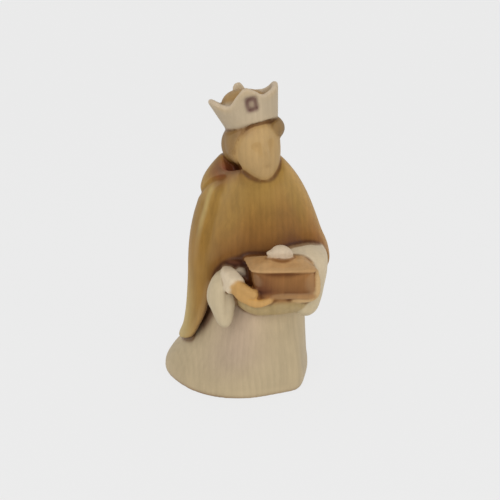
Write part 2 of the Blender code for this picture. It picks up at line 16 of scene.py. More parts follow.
import bpy
import numpy as np
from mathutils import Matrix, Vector


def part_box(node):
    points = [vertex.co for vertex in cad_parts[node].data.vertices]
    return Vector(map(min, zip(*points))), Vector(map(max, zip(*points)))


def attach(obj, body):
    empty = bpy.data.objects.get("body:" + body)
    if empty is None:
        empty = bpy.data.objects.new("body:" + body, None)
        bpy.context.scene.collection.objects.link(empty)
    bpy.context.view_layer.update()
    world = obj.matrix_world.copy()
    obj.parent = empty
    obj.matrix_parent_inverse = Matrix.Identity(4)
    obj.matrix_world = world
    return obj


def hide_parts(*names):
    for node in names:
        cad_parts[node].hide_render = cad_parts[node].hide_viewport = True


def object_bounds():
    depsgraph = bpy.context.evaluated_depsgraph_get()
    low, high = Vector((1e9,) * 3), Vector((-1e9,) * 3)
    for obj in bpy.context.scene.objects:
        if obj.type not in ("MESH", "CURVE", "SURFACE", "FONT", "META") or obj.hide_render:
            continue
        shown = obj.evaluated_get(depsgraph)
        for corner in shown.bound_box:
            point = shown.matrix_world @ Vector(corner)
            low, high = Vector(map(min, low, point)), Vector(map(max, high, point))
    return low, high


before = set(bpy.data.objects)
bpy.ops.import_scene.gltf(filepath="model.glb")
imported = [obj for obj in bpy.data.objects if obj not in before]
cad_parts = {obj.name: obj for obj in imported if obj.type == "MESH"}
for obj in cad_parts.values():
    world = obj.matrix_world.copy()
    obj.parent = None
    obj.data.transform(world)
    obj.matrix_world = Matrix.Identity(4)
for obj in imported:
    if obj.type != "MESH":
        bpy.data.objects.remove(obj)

solid_low, solid_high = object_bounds()
HEIGHT = solid_high.z - solid_low.z
UNIT = HEIGHT / 120
print(f"the figure is {HEIGHT * 1000:.1f} mm tall, so one unit of the carving is {UNIT * 1000:.3f} mm")

# %% [markdown]
# Two helpers carry all the shapes. One draws a smooth curve through a few chosen stations, as a carver
# does with a bent strip of wood. The other turns rings of points, stacked from the bottom up, into a
# closed skin with a point at each end. Between them stand three small ones, for a soft step, a bell
# curve and a mix of two colours. All work on whole arrays at once, which is much quicker than a loop
# over points.

# %% Helpers for shapes


def through(stations, at):
    """Smooth curve through stations: (place, values...). Cubic pieces meet with the same slope."""
    table = np.array(stations, float)
    place, values = table[:, 0], table[:, 1:]
    slopes = np.gradient(values, place, axis=0)
    at = np.clip(at, place[0], place[-1])
    i = np.clip(np.searchsorted(place, at, side="right") - 1, 0, len(place) - 2)
    gap = (place[i + 1] - place[i])[..., None]
    s = ((at - place[i]) / (place[i + 1] - place[i]))[..., None]
    return (
        (1 + 2 * s) * (1 - s) ** 2 * values[i]
        + s * (1 - s) ** 2 * gap * slopes[i]
        + s**2 * (3 - 2 * s) * values[i + 1]
        + s**2 * (s - 1) * gap * slopes[i + 1]
    )


def smooth_step(low, high, x):
    """0 below low, 1 above high, and an S-shaped rise between them: 3t^2 - 2t^3."""
    t = np.clip((x - low) / (high - low), 0, 1)
    return t * t * (3 - 2 * t)


def bell(x, middle, width):
    """1 at the middle and less on both sides: e to the power of minus ((x - middle) / width) squared."""
    return np.exp(-(((x - middle) / width) ** 2))


def blend(a, b, share):
    """Colour a where share is 0 and colour b where it is 1."""
    return np.asarray(a) + (np.asarray(b) - np.asarray(a)) * np.asarray(share)[..., None]


forms = []


def skin(rings, colours, low_pole, high_pole):
    """Adds a closed skin: triangles join neighbouring rings, and a fan joins each end ring to its pole."""
    rows, columns = rings.shape[:2]
    colours = np.broadcast_to(colours, rings.shape)
    grid = np.arange(rows * columns).reshape(rows, columns)
    a, b = grid[:-1], np.roll(grid, -1, axis=1)[:-1]
    c, d = np.roll(grid, -1, axis=1)[1:], grid[1:]
    low, high = rows * columns, rows * columns + 1
    first, last = grid[0], grid[-1]
    fan_low = np.stack([np.roll(first, -1), first, np.full(columns, low)], axis=-1)
    fan_high = np.stack([last, np.roll(last, -1), np.full(columns, high)], axis=-1)
    faces = np.concatenate([
        np.stack([a, b, c], axis=-1).reshape(-1, 3),
        np.stack([a, c, d], axis=-1).reshape(-1, 3),
        fan_low,
        fan_high,
    ])
    points = np.concatenate([rings.reshape(-1, 3), [low_pole], [high_pole]])
    tints = np.concatenate([colours.reshape(-1, 3), [colours[0, 0]], [colours[-1, 0]]])
    forms.append((points, faces, tints))


print("helpers are ready, and there are", len(forms), "forms so far")

# %% [markdown]
# The maker leaves the robe, crown and knob in the maple's own cream and wipes stain on the rest:
# golden brown on the cape, a redder brown on the casket and a thin coat on the hair. Here each stain
# is one colour, given as it looks on a colour card and turned into the linear light that a renderer
# adds up. Some of the colours also serve as painted shade and painted highlight.

# %% Stain colours, with painted shade and highlight


def stain(red, green, blue):
    """Card colour, 0 to 255, to linear light: a power curve with a short straight foot."""
    c = np.array([red, green, blue], float) / 255
    return np.where(c <= 0.04045, c / 12.92, ((c + 0.055) / 1.055) ** 2.4)


CREAM = stain(179, 161, 129)
CREAM_WARM = stain(170, 150, 128)
CROWN_CREAM = stain(177, 160, 134)
CROWN_WARM = stain(184, 152, 104)
KNOB_CREAM = stain(199, 180, 156)
CUFF_CREAM = stain(207, 190, 164)
SLEEVE_CREAM = stain(189, 173, 141)
LEAF_CREAM = stain(188, 172, 142)
FACE_WOOD = stain(171, 139, 91)
HAND_WOOD = stain(184, 139, 77)
# Painted shade below the hands
SHADE_OLIVE = stain(164, 141, 97)
HAIR_BROWN = stain(128, 96, 51)
HAIR_LIGHT = stain(158, 124, 76)
HAIR_DARK = stain(120, 86, 56)
GOLD = stain(145, 112, 55)
GOLD_MID = stain(146, 108, 48)
GOLD_DEEP = stain(117, 76, 32)
# Paler worn wood, also used for the painted highlight on the arm's edge
GOLD_WEAR_AND_HIGHLIGHT = stain(176, 155, 96)
CASKET_LID = stain(178, 138, 91)
CASKET_BROWN = stain(145, 101, 57)
CASKET_DARK = stain(88, 50, 30)
CAPE_DARK = stain(96, 60, 26)
# Painted shade in the gap behind the casket
SHADE_BROWN = stain(116, 70, 40)
RED_BROWN = stain(98, 44, 18)
PIT_RED = stain(162, 100, 76)
JEWEL_DARK = stain(92, 64, 58)
print("the bare wood reflects", CREAM.round(2), "of red, green and blue light")

# %% [markdown]
# The robe is a column of egg-shaped sections that flares at the hem. A section reaches to four
# given sides, and a power near 2 keeps its corners round. The sections stand at chosen heights, and
# the smooth curve fills in the rest, so the skirt has no steps. A cone that is scaled and bent could
# start it, but the hem and the waist are ovals about different middles.

# %% The robe

BODY_AXIS = np.array([5.0, -4.0])
AXIS_STARTS = 24.0
ROBE_SECTIONS = (
    (0.0, -30.8, 28.0, -30.6, 30.0),
    (0.8, -31.2, 28.4, -31.2, 30.4),
    (4.0, -31.2, 28.6, -31.2, 30.2),
    (9.0, -28.6, 28.0, -30.6, 27.8),
    (14.0, -24.8, 27.6, -29.6, 24.8),
    (20.0, -21.4, 27.2, -28.6, 22.0),
    (30.0, -17.6, 26.6, -26.4, 19.6),
    (40.0, -15.4, 25.6, -24.2, 17.6),
    (50.0, -13.6, 23.6, -21.6, 15.4),
    (60.0, -11.0, 20.0, -18.0, 12.4),
)


def oval(angle, height, sections, power, middle=BODY_AXIS):
    """Points of a section: the middle plus each side's reach times sine or cosine to 2 / power."""
    left, right, front, back = np.moveaxis(through(sections, height), -1, 0)
    middle_x, middle_y = np.moveaxis(np.asarray(middle), -1, 0)
    across, along = np.sin(angle), -np.cos(angle)
    reach_x = np.where(across > 0, right - middle_x, middle_x - left)
    reach_y = np.where(along > 0, back - middle_y, middle_y - front)
    x = middle_x + reach_x * np.sign(across) * np.abs(across) ** (2 / power)
    y = middle_y + reach_y * np.sign(along) * np.abs(along) ** (2 / power)
    return np.stack([x, y, height + 0 * x], axis=-1)


def turns(count):
    """Angles round the figure's axis: 0 at the front, a quarter turn at +X."""
    return np.linspace(-math.pi, math.pi, count, endpoint=False)


angle, height = np.meshgrid(turns(240), np.concatenate([[0, 0.25, 0.8], np.linspace(1.6, 58, 90)]))
# The hem is a disc round the origin, and the body above it stands on an axis of its own
drift = smooth_step(0, AXIS_STARTS, height)[..., None] * BODY_AXIS
# The base has a firmer corner at its right front and a softer one at the left
degrees = np.degrees(angle)
corner = 0.85 * bell(degrees, 52, 17) - 0.20 * bell(degrees, -60, 30)
power = 1.97 + corner * smooth_step(AXIS_STARTS, 4, height)
robe_rings = oval(angle, height, ROBE_SECTIONS, power, drift)
axis = np.array([*BODY_AXIS, 0.0])
print(f"robe: {np.ptp(robe_rings[..., 0]):.1f} units wide at the base")

# %% [markdown]
# The robe's stain, painted shade and painted light are one colour at each of its points. An image
# could be painted for it, but a few bell curves and soft steps over angle and height give the same
# broad areas, and they can be moved by changing one number. The wood is rosier down the front. Painted
# shade darkens it along the table and behind the hands, and a painted light makes it paler below them.

# %% The robe's stain, with painted shade and light

# A rosier, slightly darker stretch of wood down the front
rosy = bell(degrees, -12, 26) * smooth_step(2, 20, height)
# The robe's top is painted dark brown: painted shade in the gap behind the casket and the hands
robe_tint = blend(blend(CREAM, CREAM_WARM, rosy), CASKET_DARK, smooth_step(44, 50, height))
# The foot is a little darker towards the bottom, and a dark line of painted shade lies where it meets the
# table
robe_tint = robe_tint * (0.94 + 0.06 * smooth_step(4, 22, height))[..., None]
table_shade_line = 0.5 + 0.5 * bell(degrees, -38, 34)
robe_tint = blend(robe_tint, HAIR_DARK, smooth_step(1.5, 0.5, height) * table_shade_line)
# Below the hands a painted light makes the wood paler, to lift the shade that falls under them
painted_light_below_hands = bell(degrees, 8, 38) * smooth_step(23, 31, height) * smooth_step(44, 38, height)
robe_tint = robe_tint * (1 + 0.30 * painted_light_below_hands[..., None])
# Painted shade lies beside the sleeve's hanging part, along a slanting line below the cape's flap
shade_by_flap = bell(degrees, -50, 9) * bell(height, 30 + 0.55 * (degrees + 50), 5)
robe_tint = blend(robe_tint, CASKET_DARK, np.clip(1.3 * shade_by_flap, 0, 0.8))
skin(robe_rings, robe_tint, (0, 0, 0), axis + (0, 0, 60))
print("robe:", robe_rings.shape[0] * robe_rings.shape[1], "points")

# %% [markdown]
# The cape covers the shoulders, the back and the arms. Its hem is a curve of height against angle,
# high over the casket and low behind. A crease runs below the collar's roll at the right shoulder,
# and a shallow valley marks the edge of the arm. The cloth has a real thickness at the hem and the
# collar, because the skin turns in there and runs back behind itself. The tables hold the sections
# and the hem. A lattice bent by hand would do too, but its places couldn't be read from the script.

# %% The cape

CAPE_WALL, CAPE_POWER = 2.0, 2.3
COLLAR_HEIGHT = 91.6
COLLAR_DEPTH = 1.0
PIT_DEPTH = 2.0
CAPE_SECTIONS = (
    (9.0, -29.8, 29.0, -31.0, 30.4),
    (14.0, -26.7, 29.4, -31.0, 28.2),
    (20.0, -23.7, 29.8, -30.6, 25.8),
    (28.0, -22.0, 30.8, -29.4, 23.0),
    (36.0, -21.2, 33.2, -27.8, 21.2),
    (44.0, -20.7, 35.6, -26.4, 19.4),
    (50.0, -20.5, 36.4, -25.6, 18.0),
    (56.0, -20.1, 35.4, -24.8, 16.8),
    (62.0, -19.3, 32.8, -23.2, 15.4),
    (68.0, -18.0, 30.6, -21.2, 14.0),
    (74.0, -16.2, 28.2, -19.0, 12.6),
    (79.0, -15.2, 25.8, -17.0, 11.4),
    (83.0, -14.0, 23.4, -15.2, 10.4),
    (86.0, -12.2, 21.2, -13.6, 9.2),
    (89.0, -9.8, 18.6, -11.4, 7.8),
    (92.0, -7.0, 15.4, -8.8, 6.0),
)
CAPE_HEM = (
    (-180.0, 12.6),
    (-140.0, 12.6),
    (-112.0, 14.6),
    (-96.0, 16.4),
    (-84.0, 17.2),
    (-68.0, 19.2),
    (-58.0, 21.8),
    (-49.5, 27.5),
    (-41.5, 34.5),
    (-36.5, 42.5),
    (-29.0, 48.5),
    (-24.0, 51.8),
    (-19.5, 53.2),
    (-5.5, 55.2),
    (8.5, 56.0),
    (20.0, 57.0),
    (31.5, 58.4),
    (42.5, 58.8),
    (55.0, 57.7),
    (70.0, 55.8),
    (86.0, 49.0),
    (98.0, 41.0),
    (112.0, 31.0),
    (132.0, 20.0),
    (155.0, 14.0),
    (180.0, 12.6),
)
print(f"cape: {len(CAPE_SECTIONS)} sections, and a hem through {len(CAPE_HEM)} places")

# %% [markdown]
# Now the cape's points. What the tables don't hold is added along the outward direction: the crease
# below the collar, the arm's edge with the valley beside it, and the soft folds of the back. They
# could be sculpted in by hand, but a formula keeps them smooth and easy to move.

# %% The cape's surface


def ridge(angle, height, path, width):
    """1 on a line drawn on the cloth, falling off as a bell curve. The path is angle, then height."""
    degrees = np.degrees(angle)
    line = through(path, degrees)[..., 0]
    inside = (degrees > path[0][0]) & (degrees < path[-1][0])
    ends = np.minimum(degrees - path[0][0], path[-1][0] - degrees) / 14
    return np.where(inside, np.clip(ends, 0, 1) * bell(height, line, width), 0)


around = turns(300)
hem = through(CAPE_HEM, np.degrees(around))[:, 0]
low_side = bell(np.degrees(around), -38, 30)
in_front = bell(np.degrees(around), 10, 50)
collar = COLLAR_HEIGHT - 3.6 * low_side - 3.0 * in_front
steps = np.linspace(0, 1, 170)
height = hem + (collar - hem) * steps[:, None]
angle = np.broadcast_to(around, height.shape)
degrees = np.degrees(angle)
outward = np.stack([np.sin(angle), -np.cos(angle), 0 * angle], axis=-1)
CREASE = ((-150, 73), (-100, 76), (-78, 77.7), (-58, 82.3), (-40, 84.6), (-22, 86.4))
crease = ridge(angle, height, CREASE, 1.5)
ARM_EDGE = ((46, -58), (62, -56), (70, -54), (78, -51), (84, -43))
edge_line = through(ARM_EDGE, height)[..., 0]
arm = np.clip((height - 50) / 14, 0, 1) * np.clip((86 - height) / 6, 0, 1)
valley = arm * bell(degrees, edge_line + 11, 8)
arm_edge = arm * bell(degrees, edge_line, 4)
back = np.clip((np.abs(degrees) - 85) / 40, 0, 1)
folds = back * np.cos(9 * angle) * np.clip((76 - height) / 60, 0, 1)
bulge = folds - 1.0 * crease - 0.7 * valley + 0.30 * arm_edge
cape_rings = oval(angle, height, CAPE_SECTIONS, CAPE_POWER) + outward * bulge[..., None]
print(f"cape: the hem runs from {hem.min():.1f} units high behind to {hem.max():.1f} at the casket")

# %% [markdown]
# The golden stain was brushed on from above and wiped with a cloth. It is worn paler along the arm,
# where the arm's edge also gets a painted highlight, and lies dark above the hands, where the brush
# left more of it. Two sine waves push that border up and down, because a border that runs level with
# the hem would look printed. Painted light lifts the far side, and painted shade lies below the chin.

# %% The cape's stain, with painted light and shade

above_hem = height - hem
golden = smooth_step(58, 84, height)
front = smooth_step(-50, -25, degrees) * smooth_step(95, 60, degrees)
cape_tint = blend(GOLD_MID, GOLD, golden)
brushed = 5 * np.sin(5 * angle) + 3 * np.sin(11 * angle + 2)
cape_tint = blend(cape_tint, GOLD_DEEP, front * smooth_step(24 + brushed, 3, above_hem) * 0.9)
cape_tint = blend(cape_tint, CAPE_DARK, front * smooth_step(8 + 0.5 * brushed, 0, above_hem) * 0.65)
# The thickest of it stands in the corner between the hem and the knob
blot = bell(degrees, 27, 15) * smooth_step(6 + 0.35 * brushed, 0.5, above_hem)
cape_tint = blend(cape_tint, CASKET_DARK, blot * 0.85)
worn = smooth_step(-45, -80, degrees) * smooth_step(-150, -100, degrees)
cape_tint = blend(cape_tint, GOLD_WEAR_AND_HIGHLIGHT * 1.12, worn * smooth_step(60, 22, height) * 0.8)
cape_tint = blend(cape_tint, GOLD, worn * smooth_step(50, 70, height) * 0.6)
# A painted highlight runs down the arm's edge, where the ridge of the cloth would shine
cape_tint = blend(cape_tint, GOLD_WEAR_AND_HIGHLIGHT, arm_edge**2 * smooth_step(56, 72, height) * 0.7)
# The far side is painted lighter and a little bluer, a painted light that lifts its shade
painted_light_far_side = smooth_step(48, 70, degrees) * smooth_step(120, 95, degrees)
cape_tint = cape_tint * (1 + 0.42 * painted_light_far_side[..., None]) + painted_light_far_side[..., None] * (0, 0, 0.004)
# Beside the jaw the brush has left a redder edge, and below the chin a dark line of painted shade lies on
# the collar
by_jaw = bell(degrees, -48, 34) * smooth_step(7.5 + 0.3 * brushed, 1.5, collar - height)
cape_tint = blend(cape_tint, RED_BROWN, by_jaw * 0.9)
shade_below_chin = bell(degrees, -5, 50) * smooth_step(1.8, 0.4, collar - height)
cape_tint = blend(cape_tint, CASKET_DARK, shade_below_chin * 0.9)
print(f"cape: worn paler over {(worn > 0.5).mean():.0%} of its points")

# %% [markdown]
# A Solidify modifier could give the cloth its thickness, but the cape has to close into one body with
# the robe below it. So its rings go on past the edges: at the hem they turn in and up behind the
# cloth, and at the collar they turn in and down to the neck, deeper beside the jaw.

# %% The cape's turned edges

inward = -outward[0] * CAPE_WALL
hem_inner = cape_rings[0] + inward
hem_deep = oval(around, hem + 6, CAPE_SECTIONS, CAPE_POWER) + inward * 1.3
collar_inner = cape_rings[-1] + inward
pit = axis + (collar_inner - axis) * (0.62, 0.62, 1)
pit[:, 2] -= COLLAR_DEPTH + PIT_DEPTH * low_side
rings = np.concatenate([[hem_deep, hem_inner], cape_rings, [collar_inner, pit]])
# The turned-in hem is painted dark: painted shade under the cloth's edge
hem_shade_tint = np.broadcast_to(CASKET_DARK, (2, len(around), 3))
edge_tint = blend(GOLD_MID, PIT_RED, low_side)
pit_tint = blend(CAPE_DARK, PIT_RED, low_side)
tints = np.concatenate([hem_shade_tint, cape_tint, [edge_tint, pit_tint]])
skin(rings, tints, axis + (0, 0, 44), axis + (0, 0, 86))
print("cape:", rings.shape[0] * rings.shape[1], "points")

# %% [markdown]
# A box with mouldings could be stacked from slabs. One profile is shorter: how far the wall stands
# out at each height, carried round a rectangle with small round corners. The steps in the profile
# are the base moulding, the body, the lid's edge and its hipped top. The carver cut the box by eye,
# so it isn't square, and its own axes are a little askew.

# %% The casket

CASKET_PLACE = np.array([16.4, -32.6, 45.3])
CASKET_TURN, CASKET_SKEW, CASKET_LEAN = 1.0, 8.5, 4.6
CASKET_WIDTH, CASKET_DEPTH = 22.4, 15.4
MOULDING_HEIGHT, MOULDING_STEP = 2.2, 0.4
BODY_HEIGHT = 8.1
LID_OVERHANG, LID_RIM, LID_RISE = 1.2, 0.8, 2.5
HIP_SHIFT = 2.2


def casket_place(points):
    """From the casket's own axes to the figure's: width turned, depth skewed and height leant."""
    turn, skew, lean = (math.radians(a) for a in (CASKET_TURN, CASKET_SKEW, CASKET_LEAN))
    axes = np.array([
        [math.cos(turn), -math.sin(turn + skew), -math.tan(lean)],
        [math.sin(turn), math.cos(turn + skew), 0],
        [0, 0, 1],
    ])
    return points @ axes.T + CASKET_PLACE


lid_low = MOULDING_HEIGHT + BODY_HEIGHT
lid_top = lid_low + LID_RIM + LID_RISE
# Each row: the height, how far the wall stands out, and the tone from dark (0) to the lid's (2):
# the stain, with painted shade in the groove above the base moulding and just under the lid
CASKET_PROFILE = np.array([
    (0.0, MOULDING_STEP - 0.3, 1.2),
    (0.3, MOULDING_STEP, 1.2),
    (MOULDING_HEIGHT - 0.4, MOULDING_STEP, 0.9),
    (MOULDING_HEIGHT - 0.2, -0.3, 0.0),
    (MOULDING_HEIGHT + 0.2, -0.3, 0.0),
    (MOULDING_HEIGHT + 0.5, 0.0, 0.5),
    (MOULDING_HEIGHT + 3.0, 0.0, 0.75),
    (lid_low - 1.0, 0.0, 1.0),
    (lid_low, 0.0, 0.7),
    (lid_low, LID_OVERHANG - 0.2, 1.0),
    (lid_low + 0.2, LID_OVERHANG, 1.8),
    (lid_low + LID_RIM - 0.1, LID_OVERHANG, 2.0),
    (lid_low + LID_RIM + 0.2, LID_OVERHANG - 0.4, 1.75),
    (lid_top - 0.2, -4.6, 2.0),
    (lid_top, -5.4, 2.0),
])
print(f"casket: {CASKET_WIDTH} by {CASKET_DEPTH} units and {lid_top:.1f} high, without its knob")

# %% [markdown]
# The profile is carried round a superellipse, the curve between a circle and a square. A high power
# makes it a rectangle with small round corners, which is what sandpaper leaves of a sharp edge, and
# no Bevel modifier is needed. The stain changes with the profile, so each moulding has its own tone,
# and a painted shade darkens the groove above the base and the wall just under the lid.

# %% The casket's surface


def rectangle_round(half_x, half_y, power=9.0, count=240):
    """x and y are the half sides times cosine and sine, over the root of their powers' sum."""
    angle = np.linspace(0, 2 * math.pi, count, endpoint=False)
    c, s = np.cos(angle), np.sin(angle)
    grow = (np.abs(c) ** power + np.abs(s) ** power) ** (-1 / power)
    return np.stack([c * grow * half_x, s * grow * half_y, 0 * (half_x + c)], axis=-1)


walk = np.linspace(0, len(CASKET_PROFILE) - 1, 200)
rise, out, shade = (np.interp(walk, np.arange(len(CASKET_PROFILE)), column) for column in CASKET_PROFILE.T)
rings = rectangle_round(CASKET_WIDTH / 2 + out[:, None], CASKET_DEPTH / 2 + out[:, None])
rings[..., 2] = rise[:, None]
# The roof is hipped: a long slope at the left and a short one at the right
up_roof = smooth_step(lid_low + LID_RIM, lid_top, rings[..., 2])
rings[..., 0] += HIP_SHIFT * up_roof
# Stain pooled at the box's left, where the thumb keeps the cloth from wiping it
pooled = smooth_step(0, -9.0, rings[..., 0]) * smooth_step(lid_low + 0.5, lid_low - 2.0, rings[..., 2])
# On the left side itself it is thinner
pooled = np.where(rings[..., 0] < -CASKET_WIDTH / 2 + 0.3, 0.25, pooled)
tone = np.clip(shade[:, None] - 0.55 * pooled, 0, 2)
tints = np.where(
    tone[..., None] < 1,
    blend(CASKET_DARK, CASKET_BROWN, np.clip(tone, 0, 1)),
    blend(CASKET_BROWN, CASKET_LID, np.clip(tone - 1, 0, 1)),
)
casket_poles = casket_place(np.array([(0, 0, 0), (0, 0, lid_top)]))
skin(casket_place(rings), tints, casket_poles[0], casket_poles[1])
print(f"casket: {len(rings)} rings of {rings.shape[1]} points")

# %% [markdown]
# The knob is a domed button on a thin brim that runs out to a lobe at one side. It could be a ball
# joined to a slab. Here one stack of rings makes both: at each height the reach is the larger of the
# brim's and the dome's, so the two meet in a crisp line as they do in the wood.

# %% The knob

KNOB_WIDTH, KNOB_HEIGHT, KNOB_ASIDE = 10.4, 4.9, 0.9
LOBE_REACH, PLAIN_REACH = 1.10, 0.84
BRIM_DEPTH, DOME_WIDTH = 0.62, 0.70
KNOB_SUNK = 0.2
# Each row: the share of the height, the brim's width and the dome's width as shares
KNOB_RINGS = (
    (0.00, 0.66, 0.00), (0.12, 0.74, 0.00), (0.22, 0.94, 0.00), (0.30, 1.02, 0.00), (0.44, 1.02, 0.00),
    (0.51, 0.92, 0.90), (0.55, 0.60, 1.00), (0.62, 0.00, 0.99), (0.72, 0.00, 0.90), (0.82, 0.00, 0.75),
    (0.92, 0.00, 0.50), (0.98, 0.00, 0.26),
)
share, brim, dome = (np.array(KNOB_RINGS)[:, column][:, None] for column in (0, 1, 2))
angle = np.linspace(0, 2 * math.pi, 72, endpoint=False)
half_knob = KNOB_WIDTH / 2
round_half = half_knob * DOME_WIDTH * dome
reach = half_knob * brim * np.where(np.cos(angle) < 0, LOBE_REACH, PLAIN_REACH)
x = KNOB_ASIDE + np.cos(angle) * np.maximum(reach, round_half)
brim_half = half_knob * BRIM_DEPTH * brim * np.abs(np.sin(angle)) ** 0.35
y = np.sin(angle) * np.maximum(brim_half, round_half)
knob_low = lid_top - KNOB_SUNK
rings = np.stack([x, y, knob_low + KNOB_HEIGHT * share + 0 * x], axis=-1)
rings = np.concatenate([[rings[0] - (0, 0, 1.5)], rings])
tints = np.broadcast_to(KNOB_CREAM, rings.shape).copy()
tints[:2] = CASKET_DARK
knob_poles = casket_place(np.array([
    (KNOB_ASIDE, 0, knob_low - 1.5),
    (KNOB_ASIDE, 0, knob_low + KNOB_HEIGHT),
]))
skin(casket_place(rings), tints, knob_poles[0], knob_poles[1])
print(f"knob: {KNOB_WIDTH} units wide, {KNOB_HEIGHT} high")

# %% [markdown]
# Two more forms serve for sleeves and hands. A limb is a tube whose section changes along a smooth
# path. A stack is a pile of level ovals, like the robe, for what hangs straight down. A curve with a
# bevel makes tubes too, but its section couldn't be squared off for the cuff.

# %% Limbs and stacks

# How far along a cap its four rings stand, from the tip inwards
CAP = np.array([0.98, 0.85, 0.6, 0.3])
FLAT_CAP = 0.12


def limb(path, radii, tint, power=2.0, round_ends=True):
    """Rings of the given radii, square to a smooth path. A power over 2 squares the rings."""
    share = np.linspace(0, 1, len(path))
    at = np.linspace(0, 1, 48)
    middle = through(np.column_stack([share, path]), at)
    radius = through(np.column_stack([share, radii]), at)[:, 0]
    ahead = np.gradient(middle, axis=0)
    ahead /= np.linalg.norm(ahead, axis=1, keepdims=True)
    side = np.cross(ahead, (0.02, 0.05, 1.0))
    side /= np.linalg.norm(side, axis=1, keepdims=True)
    up = np.cross(side, ahead)
    angle = np.linspace(0, 2 * math.pi, 48, endpoint=False)[:, None]
    c, s = np.cos(angle), np.sin(angle)
    grow = (np.abs(c) ** power + np.abs(s) ** power) ** (-1 / power)
    circle = grow * (c * side[:, None] + s * up[:, None])
    rings = middle[:, None] + circle * radius[:, None, None]
    # A round cap is half a ball, and a flat one only has its edge broken
    tip = 1.0 if round_ends else FLAT_CAP
    flat = (np.sqrt(1 - CAP**2) if round_ends else 1 - 0.1 * CAP)[:, None, None]
    along = tip * CAP[:, None, None]
    start = middle[0] + circle[0] * radius[0] * flat - ahead[0] * radius[0] * along
    end = (middle[-1] + circle[-1] * radius[-1] * flat + ahead[-1] * radius[-1] * along)[::-1]
    rings = np.concatenate([start, rings, end])
    skin(rings, tint, middle[0] - ahead[0] * radius[0] * tip, middle[-1] + ahead[-1] * radius[-1] * tip)


def stack(sections, middle, power, low_pole, high_pole, tint, move=None):
    """Level ovals from the lowest to the highest of the sections, with an extra shift of their points."""
    table = np.array(sections)
    angle, height = np.meshgrid(turns(160), np.linspace(table[0, 0], table[-1, 0], 80))
    rings = oval(angle, height, sections, power, middle)
    if move:
        rings = move(rings)
    skin(rings, tint, low_pole, high_pole)


print("a round cap has its rings at", CAP)

# %% [markdown]
# The right sleeve ends in a square-cut cuff, and its wide part hangs below like a leaf, with one
# fold down the middle. The left sleeve is a fuller form that fills the space between the casket and
# the cape, because the carver had no need to cut in there.

# %% The sleeves

limb(
    [(-4.0, -22, 50.5), (-4.2, -28, 51.4), (-2.9, -33.5, 50.9), (-0.8, -37.6, 49.3)],
    [1.6, 2.2, 3.1, 3.3],
    CUFF_CREAM,
    power=6.0,
    round_ends=False,
)
# A lighter patch of the sleeve's lining shows in the gap beside the cuff
CUFF_LINING = stain(176, 160, 140)
limb([(0.9, -20, 51.8), (0.8, -30.2, 51.6)], [1.9, 1.7], CUFF_LINING, power=4.0, round_ends=False)
LEAF_SECTIONS = (
    (31.2, -6.8, -3.6, -33.6, -29.0),
    (32.4, -7.9, -2.7, -34.6, -28.0),
    (34.8, -9.1, -1.9, -35.4, -27.0),
    (38.2, -10.4, -1.2, -36.2, -25.0),
    (41.2, -11.7, -0.5, -36.8, -24.0),
    (44.7, -11.8, -0.8, -36.8, -22.0),
    (47.6, -10.9, -2.6, -36.4, -22.0),
    (50.0, -9.6, -3.8, -35.0, -23.0),
    (51.6, -8.2, -4.6, -33.2, -25.0),
)
FOLD_X = -4.9


def folded(rings):
    """Sets the leaf's right part back behind a line down its front: an S-shaped step in depth."""
    x, y, z = np.moveaxis(rings, -1, 0)
    step = smooth_step(FOLD_X - 0.5, FOLD_X + 0.5, x) * smooth_step(-29, -33, y)
    step = step * smooth_step(33, 38, z) * smooth_step(48.5, 46.5, z)
    return rings + np.stack([0 * x, 1.1 * step, 0 * x], axis=-1)


stack(LEAF_SECTIONS, (-5.2, -30.5), 2.4, (-5.1, -31.4, 30.7), (-6.0, -30.0, 52.4), LEAF_CREAM, folded)
print(f"right sleeve: its leaf hangs down to {LEAF_SECTIONS[0][0]} units above the table")

# %% [markdown]
# The left sleeve and the wood in front of the chest are stacks too, with nearly square sections. Most
# of them is hidden behind the casket, so a plain form is enough, and it keeps the casket joined to
# the body over its whole height.

# %% The left sleeve and the chest

LEFT_SLEEVE = (
    (34.6, 22.5, 29.0, -30.0, -18.0),
    (36.5, 19.0, 30.7, -33.0, -14.0),
    (40.0, 17.0, 32.0, -35.0, -12.0),
    (46.0, 16.0, 33.2, -36.2, -10.0),
    (51.0, 16.0, 34.1, -36.0, -10.0),
    (53.4, 15.0, 34.3, -34.0, -10.0),
    (55.6, 14.0, 34.2, -31.5, -8.0),
    (57.4, 14.0, 33.2, -29.0, -8.0),
    (58.8, 15.0, 30.5, -26.0, -8.0),
    (59.8, 17.0, 27.5, -22.5, -8.0),
)
# Its upper part is paler
sleeve_height = np.linspace(LEFT_SLEEVE[0][0], LEFT_SLEEVE[-1][0], 80)[:, None]
sleeve_tint = blend(SLEEVE_CREAM, CUFF_CREAM, 0.55 * smooth_step(46, 55, sleeve_height))
stack(LEFT_SLEEVE, (25.5, -17.0), 2.5, (26.0, -24.0, 33.9), (22.0, -14.0, 60.4), sleeve_tint)

# Between the chest and the casket the wood is left standing, painted dark: painted shade in the gap
# behind the casket
CHEST_SECTIONS = (
    (41.0, 0.0, 26.0, -29.0, -14.0),
    (46.0, -1.5, 27.0, -32.5, -14.0),
    (50.0, -3.0, 28.0, -32.5, -14.0),
    (53.0, -5.5, 28.0, -28.6, -14.0),
    (55.0, -6.0, 28.0, -26.5, -14.0),
)
chest_height = np.linspace(CHEST_SECTIONS[0][0], CHEST_SECTIONS[-1][0], 80)[:, None]
chest_shade_tint = blend(SHADE_BROWN, CASKET_DARK, smooth_step(48.5, 51.5, chest_height))
stack(CHEST_SECTIONS, (11.0, -20.0), 3.0, (11.0, -20.0, 40.0), (11.0, -18.0, 57.0), chest_shade_tint)
print(f"left sleeve: {LEFT_SLEEVE[-1][0] - LEFT_SLEEVE[0][0]:.1f} units high")

